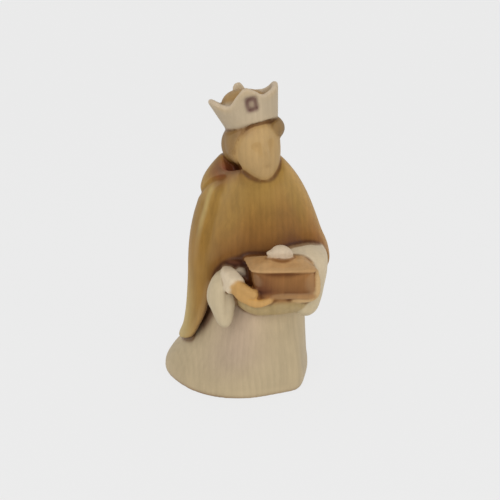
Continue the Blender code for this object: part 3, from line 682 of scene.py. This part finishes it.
# %% [markdown]
# Carvers of small figures leave the hands as simple mitts with the fingers only hinted at. The right
# hand comes out of its cuff and passes under the casket, with the thumb up against the corner. The
# left one rises along the casket's far end. Below them the wood is left standing, so that the thin
# fingers don't break off. Hands could be sculpted, but limbs with a few stations are plain enough.

# %% The hands

FINGER_WIDTH = 3.2
FINGER_STEP = 0.92 * FINGER_WIDTH
RIGHT_FIRST_Y, LEFT_FIRST_Y = -40.7, -36.8
limb(
    [(-1.2, -36.4, 49.2), (0.4, -37.8, 48.3), (3.2, -38.8, 46.4), (7.5, -38.4, 44.9)],
    [2.5, 2.9, 3.2, 2.4],
    HAND_WOOD,
    power=2.4,
)
for number, reach in enumerate((11.5, 12.5, 12.0, 10.5)):
    y = RIGHT_FIRST_Y + number * FINGER_STEP
    limb(
        [(1.8, y + 1.4, 46.2), (5.4, y + 0.4, 44.2), (8.5, y, 43.8), (reach, y + 0.4, 44.6)],
        [1.9, 1.9, 1.5, 1.1],
        HAND_WOOD,
    )
# The thumb
limb([(-1.4, -37.6, 50.2), (2.4, -40.2, 48.9), (5.6, -41.4, 47.7)], [2.1, 1.9, 1.6], HAND_WOOD)
print("right hand: a palm, four fingers and a thumb")

# %% [markdown]
# Of the left hand only the edge shows. It comes down from the sleeve along the casket's far end, and
# three short fingers turn in below. Its stain is thinner than the right hand's.

# %% The left hand

LEFT_HAND_WOOD = blend(HAND_WOOD, SLEEVE_CREAM, 0.35)
limb(
    [
        (28.6, -36.0, 55.0),
        (29.0, -37.0, 50.6),
        (28.2, -38.0, 46.4),
        (25.0, -38.2, 44.6),
        (20.0, -38.0, 44.4),
    ],
    [0.9, 1.4, 1.7, 1.4, 1.0],
    LEFT_HAND_WOOD,
)
for number, reach in enumerate((21.0, 20.0, 20.5)):
    y = LEFT_FIRST_Y + number * FINGER_STEP
    limb([(28.8, y, 47.0), (26.0, y, 44.8), (reach, y, 44.4)], [1.7, 1.5, 1.1], LEFT_HAND_WOOD)
print("left hand: its edge and three fingers")

# %% [markdown]
# The block under the hands is three eggs, cut off level just inside the casket. One wide egg would
# bulge too far at the front, and three small ones follow the hands.

# %% The wood below the hands


def ball(radii):
    """Circles of latitude of an egg: x and y go with the latitude's cosine, and z with its sine."""
    tilt = np.radians(np.linspace(-87, 87, 50))[:, None]
    angle = np.linspace(0, 2 * math.pi, 96, endpoint=False)
    flat, tall = np.cos(tilt), np.sin(tilt)
    unit = np.stack([np.cos(angle) * flat, np.sin(angle) * flat, tall + 0 * angle], axis=-1)
    return unit * np.array(radii, float)


mass_top = CASKET_PLACE[2] + 0.5
for mass_place, radii in (
    ((9.0, -27.4, 44.9), (11.5, 12.6, 10.0)),
    ((14.0, -27.0, 44.8), (13.5, 12.6, 9.7)),
    ((18.0, -26.2, 44.7), (12.6, 12.6, 9.2)),
):
    rings = ball(radii) + np.array(mass_place)
    rings[..., 2] = np.minimum(rings[..., 2], mass_top)
    # The block is painted olive, and browner just below the casket: painted shade under the hands and the
    # box
    shade_under_box = smooth_step(CASKET_PLACE[2] - 3.0, CASKET_PLACE[2] - 0.5, rings[..., 2])
    low_pole = np.array(mass_place) - (0, 0, radii[2])
    skin(rings, blend(SHADE_OLIVE, CASKET_BROWN, shade_under_box), low_pole, (*mass_place[:2], mass_top))
print(f"the wood below the hands ends {mass_top:.1f} units above the table")

# %% [markdown]
# The head is an egg drawn in latitude and longitude. Its face is a pointed arch that the hair frames,
# so the surface steps out wherever a point lies outside that arch. Hair could be a second shell over
# the head, but a step in one surface fuses without a gap.

# %% The head

HEAD_PLACE = np.array([6.0, -7.0, 97.0])
HEAD_TURN, HEAD_LEAN, HEAD_NOD = 18.0, -12.0, 6.0
HALF_WIDTH, FACE_REACH, BACK_REACH = 10.0, 10.4, 11.5
UP_REACH, DOWN_REACH, CHIN_REACH = 12.6, 15.8, 4.4


def rotation(axis, degrees):
    """The matrix that turns points about X, Y or Z, given as 0, 1 or 2: cosines and sines of the angle."""
    c, s = math.cos(math.radians(degrees)), math.sin(math.radians(degrees))
    one, other = (axis + 1) % 3, (axis + 2) % 3
    matrix = np.eye(3)
    matrix[one, one] = matrix[other, other] = c
    matrix[other, one] = s
    matrix[one, other] = -s
    return matrix


angle, tilt = np.meshgrid(turns(240), np.radians(np.linspace(-86, 86, 150)))
x = HALF_WIDTH * np.cos(tilt) * np.sin(angle)
y = -np.where(np.cos(angle) > 0, FACE_REACH, BACK_REACH) * np.cos(tilt) * np.cos(angle)
z = np.where(tilt > 0, UP_REACH, DOWN_REACH) * np.sin(tilt)
# Below the eyes the egg draws in at the sides and forward to the chin
low = np.clip(-tilt / math.radians(70), 0, 1)
y = y - CHIN_REACH * low**1.4
x = x * (1 - 0.14 * low)
degrees, up = np.degrees(angle), np.degrees(tilt)
# The hair's two edges: degrees up, then degrees round from the nose
LEFT_LINE = (
    (-90, -104), (-45, -92), (-20, -82), (-2, -73), (11, -62), (22, -55), (32, -44), (41, -28), (48, -8),
    (54, 14),
)
RIGHT_LINE = (
    (-90, 112), (-45, 110), (-20, 104), (0, 88), (15, 74), (30, 58), (40, 48), (48, 38), (54, 30),
)
left_line, right_line = through(LEFT_LINE, up)[..., 0], through(RIGHT_LINE, up)[..., 0]
outside = np.maximum(left_line - degrees, degrees - right_line) / 6
hair = smooth_step(-0.5, 0.5, outside)
# It stands out more on the -X side, where it falls over the cheek
left = np.clip(-degrees / 60, 0, 1)
# Behind the jaw on that side the hair ends, and the wood is cut in towards the neck
cut_in = smooth_step(-68, -84, degrees) * smooth_step(-165, -140, degrees) * smooth_step(-8, -30, up)
grow = 1 + (0.06 + 0.09 * left) * hair * np.clip((up + 70) / 40, 0, 1) - 0.24 * cut_in
print(f"head: hair covers {hair.mean():.0%} of its points")

# %% [markdown]
# The features are soft bumps and hollows on that egg, calm and hardly cut, as is usual on figures of
# this size. They stand where drawing books put them: eyes half-way up, the nose's tip half-way from
# there to the chin, and the mouth a third of the way below it. Each is a bell curve in two angles,
# which leaves no edge to sand.

# %% The face


def swell(angle, tilt, at, width):
    """A soft bump of height 1 at one place on the head: one bell curve round it times one up it."""
    return bell(angle, at[0], width[0]) * bell(tilt, at[1], width[1])


# Each row: the size as a share of the head's depth, the place and the width, in degrees round and up
NOSE = (0.130, (4, -3), (6, 12))
LEFT_EYE = (-0.055, (-15, 6), (10, 7))
RIGHT_EYE = (-0.055, (23, 6), (10, 7))
BROW = (0.022, (4, 18), (30, 6))
LIPS = (0.026, (4, -27), (12, 5))
MOUTH = (-0.050, (4, -27.5), (11, 3.2))
FEATURES = (NOSE, LEFT_EYE, RIGHT_EYE, BROW, LIPS, MOUTH)
face = sum(size * swell(degrees, up, at, width) for size, at, width in FEATURES)
head_rings = np.stack([x * grow, y * (grow + face), z * (1 + 0.04 * hair)], axis=-1)
poles = np.array([(0, -4.6, -15.9), (0, 0, 13.0)])
# The head nods about X, turns about Z and then leans about Y
HEAD_AXES = rotation(1, HEAD_LEAN) @ rotation(2, HEAD_TURN) @ rotation(0, HEAD_NOD)
head_rings, poles = (points @ HEAD_AXES.T + HEAD_PLACE for points in (head_rings, poles))
at_hairline = bell(outside, 0, 1.1)
head_tint = blend(blend(FACE_WOOD, HAIR_BROWN, hair), HAIR_DARK, hair * at_hairline * 0.35)
# Darker at the temple, and painted shade below the crown's edge on the -X side
temple = swell(degrees, up, (40, 36), (9, 5))
shade_under_crown = smooth_step(-70, -45, degrees) * smooth_step(10, -40, degrees) * smooth_step(18, 34, up)
head_tint = blend(head_tint, HAIR_DARK, np.clip(temple + shade_under_crown, 0, 1) * 0.5)
mouth = swell(degrees, up, (4, -27.5), (11, 2.6))
head_tint = blend(head_tint, HAIR_BROWN, mouth * 0.45)
skin(head_rings, head_tint, poles[0], poles[1])
print(f"face: {len(FEATURES)} features, the nose {NOSE[0] * FACE_REACH:.1f} units high")

# %% [markdown]
# The hair's fuller parts are eggs set into the head: a bun behind the temple on the +X side, a lock
# over the cheek on the -X side and a roll round the back. Strands could be curves with a round
# section, but the carver left the hair as plain masses. A neck joins the head to the cape's collar.

# %% Hair and neck

for lobe_place, lobe_radii in (
    ((11.4, -4.5, 102.3), (6.4, 8.5, 5.2)),
    ((-0.2, -4.0, 96.0), (6.6, 8.0, 8.0)),
    ((5.6, -0.6, 99.4), (10.6, 8.0, 6.6)),
):
    centre = np.array(lobe_place)
    tall = (0, 0, lobe_radii[2])
    skin(ball(lobe_radii) + centre, HAIR_BROWN, centre - tall, centre + tall)

# Each row: the height, the middle and the half width
NECK = ((78, 5, -4, 6.4), (85, 5, -4, 6.6), (91, 5, -4.6, 7.0), (96, 5.4, -5, 7.4))
height = np.linspace(78, 96, 30)[:, None]
angle = np.linspace(0, 2 * math.pi, 72, endpoint=False)
neck_x, neck_y, neck_half = np.moveaxis(through(NECK, height), -1, 0)
rings = np.stack([
    neck_x + neck_half * np.cos(angle), neck_y + neck_half * np.sin(angle), height + 0 * angle
], axis=-1)
# The neck is painted dark: stain pooled in the pit round it, and painted shade there
skin(rings, CASKET_DARK, (5, -4, 77), (5.4, -5, 97))
print("forms so far:", len(forms))

# %% [markdown]
# The crown is a flaring wall with four uneven points. The wall's cross-section is a thin loop: up
# the outside, over a round rim and down the inside. That loop is carried round the head, and a
# smooth curve gives the rim's height at each angle. A flat band with a zigzag cut in it could be bent
# round instead, but then the points would keep hard edges. A small knob stands on the back point.

# %% The crown

CROWN_PLACE = np.array([5.2, -7.4, 104.6])
CROWN_RADIUS, CROWN_WALL = 10.2, 2.4
CROWN_FLARE, CROWN_LEAN, CROWN_BACK, CROWN_TURN = 17.0, 14.7, 7.1, 5.6
# The rim: degrees round from the front, then its height
CROWN_RIM = (
    (-180, 12.6), (-150, 11.6), (-125, 10.6), (-108, 12.2), (-94, 12.7), (-80, 12.5), (-67, 11.2),
    (-52, 9.4), (-38, 8.5), (-16, 11.4), (0, 13.3), (13, 11.7), (27, 9.7), (48, 10.2), (72, 11.7),
    (92, 13.1), (104, 13.1), (120, 12.2), (137, 11.6), (155, 12.0), (180, 12.6),
)
KNOB_ON_BACK, KNOB_ANGLE, KNOB_SPREAD = 3.9, 185.0, 10.5
FLARE_CHANGE = 2.6
DOME_LOW, DOME_HIGH = 7.0, 13.4
JEWEL_WIDTH, JEWEL_ANGLE, JEWEL_RISE = 4.7, 4.0, 6.9


def rim_height(angle):
    """A smooth curve through the rim's places, plus e to minus the fourth power of the angle to the knob."""
    from_knob = (np.degrees(angle) % 360 - KNOB_ANGLE) / KNOB_SPREAD
    return through(CROWN_RIM, np.degrees(angle))[:, 0] + KNOB_ON_BACK * np.exp(-(from_knob**4))


# The crown turns about Z, tips back about X and then leans about Y
CROWN_AXES = rotation(1, -CROWN_LEAN) @ rotation(0, -CROWN_BACK) @ rotation(2, CROWN_TURN)


def crown_place(points):
    """From the crown's own axes to the figure's: turned by its axes and set on the head."""
    return points @ CROWN_AXES.T + CROWN_PLACE


crown_top = np.max(CROWN_RIM, axis=0)[1]
print(f"crown: {2 * CROWN_RADIUS} units wide at its foot, and {crown_top} high at its highest")

# %% [markdown]
# The wall's loop goes up the outside, over the rim and down the inside, and then on over the dome of
# hair that fills the crown. The stone's square setting is pressed into the outside. A Boolean cut
# would give it sharper edges than the sanded wood has.

# %% The crown's wall

angle = turns(360)
top = rim_height(angle)
up_wall = np.linspace(0, 1, 70)[:, None]
turn_over = np.linspace(0, math.pi, 16)[1:-1, None]
half_wall = CROWN_WALL / 2
outer_height = up_wall * (top - half_wall)
# The crown flares more on its low side than on its high one
flare = np.tan(np.radians(CROWN_FLARE - FLARE_CHANGE * np.sin(angle)))
outer_reach = CROWN_RADIUS + outer_height * flare
# The square setting: a pressed border round a stone that stands nearly flush
sideways = np.abs((angle - math.radians(JEWEL_ANGLE)) * outer_reach)
upward = np.abs(outer_height - JEWEL_RISE) / 1.14
from_middle = (sideways**5 + upward**5) ** (1 / 5)
pressed = smooth_step(JEWEL_WIDTH / 2 + 0.5, JEWEL_WIDTH / 2 - 0.3, from_middle)
stone = smooth_step(JEWEL_WIDTH / 4 + 0.3, JEWEL_WIDTH / 4 - 0.5, from_middle)
outer_reach = outer_reach - 0.8 * pressed + 0.6 * stone
rim_reach = CROWN_RADIUS + (top - half_wall) * flare - half_wall
outer = np.stack([outer_reach, outer_height], axis=-1)
rim = np.stack([
    rim_reach + half_wall * np.cos(turn_over),
    top - half_wall + half_wall * np.sin(turn_over),
], axis=-1)
inner_height = DOME_LOW + (top - half_wall - DOME_LOW) * up_wall[::-1]
inner = np.stack([CROWN_RADIUS + inner_height * flare - CROWN_WALL, inner_height], axis=-1)
# The hair fills the crown: from the wall's inside a dome rises to the middle
over = np.radians(np.linspace(0, 88, 30))[1:, None]
# The head stands level, so in the leaning crown the hair is fuller at the low side
fuller = 1 - 0.35 * np.sin(angle) * np.cos(over)
dome = np.stack([
    inner[-1, :, 0] * np.cos(over),
    DOME_LOW + (DOME_HIGH - DOME_LOW) * np.sin(over) * fuller,
], axis=-1)
wall = np.concatenate([outer, rim, inner, dome])
crown_rings = np.stack([wall[..., 0] * np.sin(angle), -wall[..., 0] * np.cos(angle), wall[..., 1]], axis=-1)
print(f"crown: {crown_rings.shape[0]} rings of {crown_rings.shape[1]} points")

# %% [markdown]
# The crown was left in bare wood. It still has a dark border round the stone, warm smudges below the
# rim and a deeper tone inside. Its rim has a painted highlight, and a line of painted shade lies below
# the back knob. Each part of the loop is a slice of the same array, so its colours are set slice by
# slice.

# %% The crown's stain, with painted light and shade

crown_tint = np.broadcast_to(CROWN_CREAM, crown_rings.shape).copy()
on_outside, on_inside = slice(0, len(outer)), slice(len(outer) + len(rim), None)
on_rim = slice(len(outer), len(outer) + len(rim))
border = pressed * (1 - 0.55 * stone)
crown_tint[on_outside] = blend(crown_tint[on_outside], JEWEL_DARK, border)
smudge = smooth_step(3.2, 0.6, top - outer_height) * (0.5 + 0.5 * np.sin(7 * angle + 1.5))
crown_tint[on_outside] = blend(crown_tint[on_outside], CROWN_WARM, smudge * 0.45)
# The rim is painted paler: a painted highlight along its rounded top
crown_tint[on_rim] = blend(CROWN_CREAM, KNOB_CREAM, 0.7)
below_rim = smooth_step(1.0, 4.0, top - wall[on_inside, :, 1])
crown_tint[on_inside] = blend(crown_tint[on_inside], CROWN_WARM, below_rim * 0.7)
on_dome = np.zeros_like(below_rim)
on_dome[len(inner):] = smooth_step(0.99, 0.9, dome[..., 0] / inner[-1, :, 0])
crown_tint[on_inside] = blend(crown_tint[on_inside], HAIR_LIGHT, on_dome)
# Painted shade lies in a brown line below the back knob
at_knob = bell(np.degrees(angle) % 360, KNOB_ANGLE, 14)
shade_below_crown_knob = bell(top - wall[..., 1], KNOB_ON_BACK + 0.6, 0.6) * at_knob
crown_tint = blend(crown_tint, HAIR_BROWN, shade_below_crown_knob * 0.8)
poles = crown_place(np.array([(0.0, 0.0, 0.0), (0.0, 0.0, DOME_HIGH)]))
skin(crown_place(crown_rings), crown_tint, poles[0], poles[1])
print("forms so far:", len(forms))

# %% [markdown]
# The forms overlap like lumps of clay. A voxel remesh melts them into one skin: it marks each small
# cell of space as inside or outside and wraps a new surface round the inside, so no seam is left
# where two forms meet. Boolean unions would keep every form's sharp border.

# %% Fuse the forms

counts = np.cumsum([0] + [len(points) for points, faces, tints in forms])
all_points = np.concatenate([points for points, faces, tints in forms]) * UNIT
all_faces = np.concatenate([faces + start for (points, faces, tints), start in zip(forms, counts)])
all_tints = np.concatenate([tints for points, faces, tints in forms])


def mesh_of(name, points, faces):
    """A mesh object of arrays of points and faces."""
    mesh = bpy.data.meshes.new(name)
    mesh.from_pydata(points, [], faces)
    obj = bpy.data.objects.new(name, mesh)
    bpy.context.scene.collection.objects.link(obj)
    return obj


def settled(obj):
    """The object's evaluated mesh, modifiers included, as a mesh of its own."""
    graph = bpy.context.evaluated_depsgraph_get()
    return bpy.data.meshes.new_from_object(obj.evaluated_get(graph))


VOXEL = 0.59 * UNIT
lumps = mesh_of("carving_forms", all_points, all_faces)
colour = lumps.data.attributes.new("tint", "FLOAT_COLOR", "POINT")
colour.data.foreach_set("color", np.column_stack([all_tints, np.ones(len(all_tints))]).ravel())

figure = mesh_of("carved_wise_man", all_points, all_faces)
remesh = figure.modifiers.new("fuse", "REMESH")
remesh.mode = "VOXEL"
remesh.voxel_size = VOXEL
figure.data = settled(figure)
figure.modifiers.clear()
print("forms:", len(forms), "with", len(all_points), "points; fused into", len(figure.data.vertices))

# %% [markdown]
# The stain colours are lost when the forms are fused. A Data Transfer modifier brings them back: each
# point of the new skin takes the colour of the nearest place on the forms. A loop over all points
# would take minutes for the same result.

# %% Take the stains back

figure.data.attributes.new("tint", "FLOAT_COLOR", "POINT")
transfer = figure.modifiers.new("take the stains back", "DATA_TRANSFER")
transfer.object = lumps
transfer.use_vert_data = True
transfer.data_types_verts = {"COLOR_VERTEX"}
transfer.vert_mapping = "POLYINTERP_NEAREST"
figure.data = settled(figure)
figure.modifiers.clear()
bpy.data.objects.remove(lumps)
print("the stains are back on", len(figure.data.vertices), "points")

# %% [markdown]
# Stain gathers in hollows and is rubbed off edges, and the hollows also get painted shade. To find
# them, the skin is blurred: each point moves to the mean of its neighbours, again and again. Where the
# blurred skin lies outside the real one there is a hollow, and where it lies inside there is a ridge.

# %% A blur for the skin

NEAR_ROUNDS, WIDE_ROUNDS = 24, 120
mesh = figure.data
count = len(mesh.vertices)
points = np.empty(count * 3)
mesh.vertices.foreach_get("co", points)
points = points.reshape(-1, 3)
normals = np.empty(count * 3)
mesh.vertices.foreach_get("normal", normals)
normals = normals.reshape(-1, 3)
edges = np.empty(len(mesh.edges) * 2, int)
mesh.edges.foreach_get("vertices", edges)
one, other = edges.reshape(-1, 2).T
ends = np.concatenate([one, other])
starts = np.concatenate([other, one])
neighbours = np.bincount(ends, minlength=count)[:, None]


def blurred(values, rounds):
    """Each value becomes half itself and half the mean of its neighbours, for a number of rounds."""
    for _ in range(rounds):
        sums = [np.bincount(ends, weights=column[starts], minlength=count) for column in values.T]
        values = 0.5 * values + 0.5 * np.column_stack(sums) / neighbours
    return values


print(f"each point has {neighbours.mean():.1f} neighbours")

# %% [markdown]
# A few rounds of blurring find narrow creases, and many rounds find broad hollows. Both are wanted: a
# crease holds a dark line, and a broad hollow is a little darker all over, from pooled stain and
# painted shade. The two are added up and stored on the skin as one number at each point, for the
# shader to read.

# %% Hollows and ridges on the skin

tint = np.empty(count * 4)
mesh.attributes["tint"].data.foreach_get("color", tint)
tint = blurred(tint.reshape(-1, 4)[:, :3], 3)
points = blurred(points, 2)
near = np.sum((blurred(points, NEAR_ROUNDS) - points) * normals, axis=1) / UNIT
wide = np.sum((blurred(points, WIDE_ROUNDS) - points) * normals, axis=1) / UNIT
hollow = np.clip(1.6 * near + 0.7 * wide, -1, 1)
hollow = blurred(hollow[:, None], 2)[:, 0]
# The crown was left unstained, so little stain has pooled in it, and its painted shade is weaker too
hollow = hollow * (1 - 0.6 * smooth_step(105, 108, points[:, 2] / UNIT))
print(f"hollows reach {hollow.max():.2f} and ridges {hollow.min():.2f}")

# No point is left outside the solid's own box: each is clipped into it
low_corner, high_corner = (np.array(corner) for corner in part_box("wise_man"))
points = np.clip(points, low_corner, high_corner)
mesh.vertices.foreach_set("co", points.ravel())
mesh.attributes["tint"].data.foreach_set("color", np.column_stack([tint, np.ones(count)]).ravel())
# Bare wood is pale, so the darkness of the colour tells how much stain it carries, painted shade included
stained = smooth_step(0.42, 0.14, tint @ (0.3, 0.6, 0.1))
for name, values in (("hollow", hollow), ("stained", stained)):
    mesh.attributes.new(name, "FLOAT", "POINT").data.foreach_set("value", values)
mesh.shade_smooth()
mesh.update()
print("skin:", count, "points,", len(mesh.loops) - 2 * len(mesh.polygons), "triangles")

# %% [markdown]
# A node tree is hard to read as code. Here one small class wraps a socket, so that an expression
# such as 1 - mask adds the Math node it needs. Any other node comes from one method.

# %% Shader helpers

MM = 0.001


class Signal:
    """A value that flows through the shader. Arithmetic on it adds Math nodes."""

    def __init__(self, recipe, socket):
        self.recipe, self.socket = recipe, socket

    def math(self, operation, *values):
        return self.recipe.node("ShaderNodeMath", {"operation": operation}, dict(enumerate(values)))

    def __add__(self, other):
        return self.math("ADD", self, other)

    __radd__ = __add__

    def __sub__(self, other):
        return self.math("SUBTRACT", self, other)

    def __rsub__(self, other):
        return self.math("SUBTRACT", other, self)

    def __mul__(self, other):
        return self.math("MULTIPLY", self, other)

    __rmul__ = __mul__


class Recipe:
    """A material that is built one node at a time."""

    def __init__(self, name):
        self.material = bpy.data.materials.new(name)
        self.material.use_nodes = True
        self.tree = self.material.node_tree
        self.shader = self.tree.nodes["Principled BSDF"]

    def feed(self, socket, value):
        if isinstance(value, Signal):
            self.tree.links.new(value.socket, socket)
        else:
            socket.default_value = value

    def node(self, kind, settings=None, inputs=None, output=0):
        """Adds a node, sets its settings, then its sockets, and gives back one of its outputs."""
        made = self.tree.nodes.new(kind)
        for name, value in (settings or {}).items():
            setattr(made, name, value)
        for name, value in (inputs or {}).items():
            self.feed(made.inputs[name], value)
        return Signal(self, made.outputs[output])

    def ramp(self, value, low, high, to_low=0.0, to_high=1.0):
        """A smooth rise of the value from low to high, mapped to a new range."""
        limits = {"From Min": low, "From Max": high, "To Min": to_low, "To Max": to_high}
        settings = {"interpolation_type": "SMOOTHSTEP"}
        return self.node("ShaderNodeMapRange", settings, {"Value": value, **limits})

    def mix(self, first, second, share, way="MIX"):
        """Two colours mixed by a share, in one of Blender's ways."""
        settings = {"data_type": "RGBA", "blend_type": way, "clamp_factor": True}
        # A Mix node has sockets for each kind of data: 0 is the share, and 6 and 7 are the colours
        return self.node("ShaderNodeMix", settings, {0: share, 6: first, 7: second}, output=2)

    def noise(self, place, scale, detail, roughness, distortion=0.0):
        """Blender's cloudy noise at a place. The scale is in clouds per millimetre."""
        values = {"Vector": place, "Scale": scale / MM, "Detail": detail}
        values.update(Roughness=roughness, Distortion=distortion)
        return self.node("ShaderNodeTexNoise", {}, values)

    def attribute(self, name, output="Fac"):
        """What the skin stores under a name."""
        return self.node("ShaderNodeAttribute", {"attribute_name": name}, output=output)

    def finish(self, **values):
        """Feeds the shader's own sockets by name, with spaces for underscores."""
        for name, value in values.items():
            self.feed(self.shader.inputs[name.replace("_", " ")], value)
        return self.material


print("signals can be added, subtracted and multiplied")

# %% [markdown]
# The block stood upright in the tree, so its growth rings meet the surface as upright lines. They are
# distances from a pith well outside the figure, bent a little by slow noise, and turned into fine
# bands. Blender's Wave texture has rings too, but here each ring rises slowly and ends at a hard line,
# as early and late wood do.

# %% The growth rings

# The pith stood 75 mm to the left of the figure and 30 mm in front of it
FROM_PITH = (0.075, 0.030, 0.0)
RING_WIDTH, RING_BEND = 2.3, 9.0


def growth_rings(recipe, place):
    """Distance from the pith, the root of x squared plus y squared, in ring widths: its fraction, ramped."""
    centred = recipe.node("ShaderNodeMapping", {}, {"Vector": place, "Location": FROM_PITH})
    slow = recipe.noise(centred, 0.02, 2.0, 0.5)
    x = recipe.node("ShaderNodeSeparateXYZ", {}, {0: centred}, output="X")
    y = recipe.node("ShaderNodeSeparateXYZ", {}, {0: centred}, output="Y")
    squared = x * x + y * y
    distance = squared.math("SQRT", squared)
    rings = (distance + slow * (RING_BEND * MM)) * (1 / (RING_WIDTH * MM))
    phase = rings.math("FRACT", rings)
    return recipe.ramp(phase, 0.0, 0.75) * recipe.ramp(phase, 1.0, 0.82)


print(f"a ring every {RING_WIDTH} mm")

# %% [markdown]
# The rest is four noises. Two are stretched upright and give streaks and pores, one is stretched and
# twisted for the strokes of the stain's brush, and one is round for patches. The stain's colour comes
# from the skin itself and is deepened in the hollows, by pooled stain and painted shade, and rubbed
# paler on the ridges. A satin lacquer lies over everything. A baked picture could hold all this, but it
# would blur from close by.

# %% The wood

STRETCH = 0.06
STAIN_AND_SHADE_IN_HOLLOWS = (0.36, 0.22, 0.11, 1)
RUBBED_WOOD = (0.60, 0.46, 0.27, 1)


def maple():
    """The grain scales the stain's colour. Hollows multiply it by a brown, and ridges mix in pale wood."""
    recipe = Recipe("stained and lacquered maple")
    place = recipe.node("ShaderNodeTexCoord", output="Object")
    upright = recipe.node("ShaderNodeMapping", {}, {"Vector": place, "Scale": (1.0, 1.0, STRETCH)})
    band = growth_rings(recipe, place)
    streaks = recipe.noise(upright, 0.55, 4.0, 0.65)
    fleck = recipe.ramp(recipe.noise(upright, 3.2, 2.0, 0.5), 0.60, 0.72)
    brushed = recipe.noise(upright, 0.30, 5.0, 0.6, distortion=0.6)
    patches = recipe.noise(place, 0.07, 3.0, 0.55)
    tint = recipe.attribute("tint", output="Color")
    hollow = recipe.attribute("hollow")
    stained = recipe.attribute("stained")

    strength = recipe.ramp(patches, 0.35, 0.65, 0.2, 1.0)
    grain = 0.96 + band * strength * 0.05 + (streaks - 0.5) * 0.32 - fleck * 0.04 + (patches - 0.5) * 0.14
    # Stain soaks into the grain, so it shows more where there is more of it
    grain = grain + stained * ((brushed - 0.5) * 0.55 + (patches - 0.5) * 0.40 + band * 0.03)
    scaled = {0: tint, "Scale": grain}
    wood = recipe.node("ShaderNodeVectorMath", {"operation": "SCALE"}, scaled, output="Vector")
    # Hollows are darkened by pooled stain and by painted shade
    pooled = recipe.ramp(hollow, 0.06, 0.62)
    rubbed = recipe.ramp(hollow, -0.05, -0.45)
    deep = recipe.mix(wood, STAIN_AND_SHADE_IN_HOLLOWS, 1.0, "MULTIPLY")
    wood = recipe.mix(wood, deep, pooled * 0.85)
    wood = recipe.mix(wood, RUBBED_WOOD, rubbed * 0.12)

    rough = 0.50 - pooled * 0.18 + (streaks - 0.5) * 0.10
    relief = streaks * 0.5 - fleck * 0.5 + band * 0.3
    depth = {"Height": relief, "Strength": 0.10, "Distance": 0.12 * MM}
    return recipe.finish(
        Base_Color=wood,
        Roughness=rough,
        Normal=recipe.node("ShaderNodeBump", {}, depth, output="Normal"),
        Coat_Weight=0.04,
        Coat_Roughness=0.2,
        Specular_IOR_Level=0.10,
    )


figure.data.materials.append(maple())
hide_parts("wise_man")
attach(figure, "root")
print("the wood's recipe has", len(figure.data.materials[0].node_tree.nodes), "nodes")

# %% [markdown]
# A pale card lies under the figure and turns up all round it, high behind and low in front, so no
# edge or corner of a room shows from any side. A flat plane would end in a horizon line. The card
# glows a little, like a light table, so it takes only a faint shadow.

# %% The card

CARD_GREY, CARD_GLOW = 0.06, 0.780
CARD_BEND, CARD_REACH = 0.5, 1.6
LOW_WALL, HIGH_WALL = 0.55, 4.45


def sweep():
    """Card that lies flat and turns up all round: a quarter circle's profile turned about Z."""
    columns = 96
    turn = np.linspace(0, math.pi / 2, 24)[:, None]
    round_z = np.linspace(-math.pi, math.pi, columns, endpoint=False)[None]
    wall_top = LOW_WALL + (HIGH_WALL - LOW_WALL) * smooth_step(-0.1, 0.4, np.cos(round_z))
    bent = CARD_REACH - CARD_BEND + CARD_BEND * np.sin(turn)
    out = np.concatenate([[[0.01]], bent, [[CARD_REACH]]]) + 0 * round_z
    up = np.concatenate([0 * round_z, CARD_BEND - CARD_BEND * np.cos(turn) + 0 * round_z, wall_top])
    grid = np.stack([out * np.sin(round_z), out * np.cos(round_z), up], axis=-1)
    index = np.arange(grid.shape[0] * columns).reshape(-1, columns)
    beside = np.roll(index, -1, axis=1)
    faces = np.stack([index[:-1], index[1:], beside[1:], beside[:-1]], axis=-1).reshape(-1, 4).tolist()
    obj = mesh_of("card", grid.reshape(-1, 3), faces + [index[0].tolist()])
    obj.data.shade_smooth()
    recipe = Recipe("pale card")
    obj.data.materials.append(recipe.finish(
        Base_Color=(CARD_GREY, CARD_GREY, CARD_GREY, 1),
        Roughness=1.0,
        Specular_IOR_Level=0.0,
        Emission_Color=(CARD_GLOW, CARD_GLOW, CARD_GLOW, 1),
        Emission_Strength=1.0,
    ))
    return obj


card = sweep()
print(f"card: {2 * CARD_REACH:.1f} m across, of {len(card.data.polygons)} faces")

# %% [markdown]
# The light is soft: an even sky, one large lamp from the upper left that shapes the forms, and a
# weaker one from the right that opens the shadows. The camera is close and looks down, so the base is
# seen from above and the crown nearly from the side. Its place was found by matching the base's oval
# and the figure's height, which is surer than guessing a lens.

# %% Light and camera

SKY_STRENGTH = 0.46
LENS_MM, FILM_MM = 63, 36
LOOK_AT = Vector((4.4, 0, 51.5)) * UNIT
CAMERA_PLACE = Vector((4.4, -340, 158.5)) * UNIT


def aimed(obj, place):
    """Puts a lamp or camera at a place and turns its -Z axis to the point that is looked at."""
    obj.location = place
    obj.rotation_euler = (LOOK_AT - obj.location).to_track_quat("-Z", "Y").to_euler()
    bpy.context.scene.collection.objects.link(obj)
    return obj


world = bpy.data.worlds.new("soft sky")
bpy.context.scene.world = world
world.use_nodes = True
sky = world.node_tree.nodes["Background"].inputs
sky["Color"].default_value = (1.0, 1.0, 1.0, 1)
sky["Strength"].default_value = SKY_STRENGTH

for name, place, size, power in (
    ("large lamp", (-0.35, -0.75, 0.60), 0.60, 3.4),
    ("fill lamp", (0.60, -0.60, 0.40), 0.60, 2.2),
):
    light = bpy.data.lights.new(name, "AREA")
    light.energy, light.size = power, size
    aimed(bpy.data.objects.new(name, light), place)

camera_data = bpy.data.cameras.new("camera")
camera_data.lens, camera_data.sensor_width = LENS_MM, FILM_MM
camera_data.clip_start, camera_data.clip_end = 0.01, 20
camera = aimed(bpy.data.objects.new("camera", camera_data), CAMERA_PLACE)
bpy.context.scene.camera = camera
bpy.context.scene.view_settings.view_transform = "Standard"
print(f"camera: {(LOOK_AT - CAMERA_PLACE).length:.3f} m from the point it looks at")
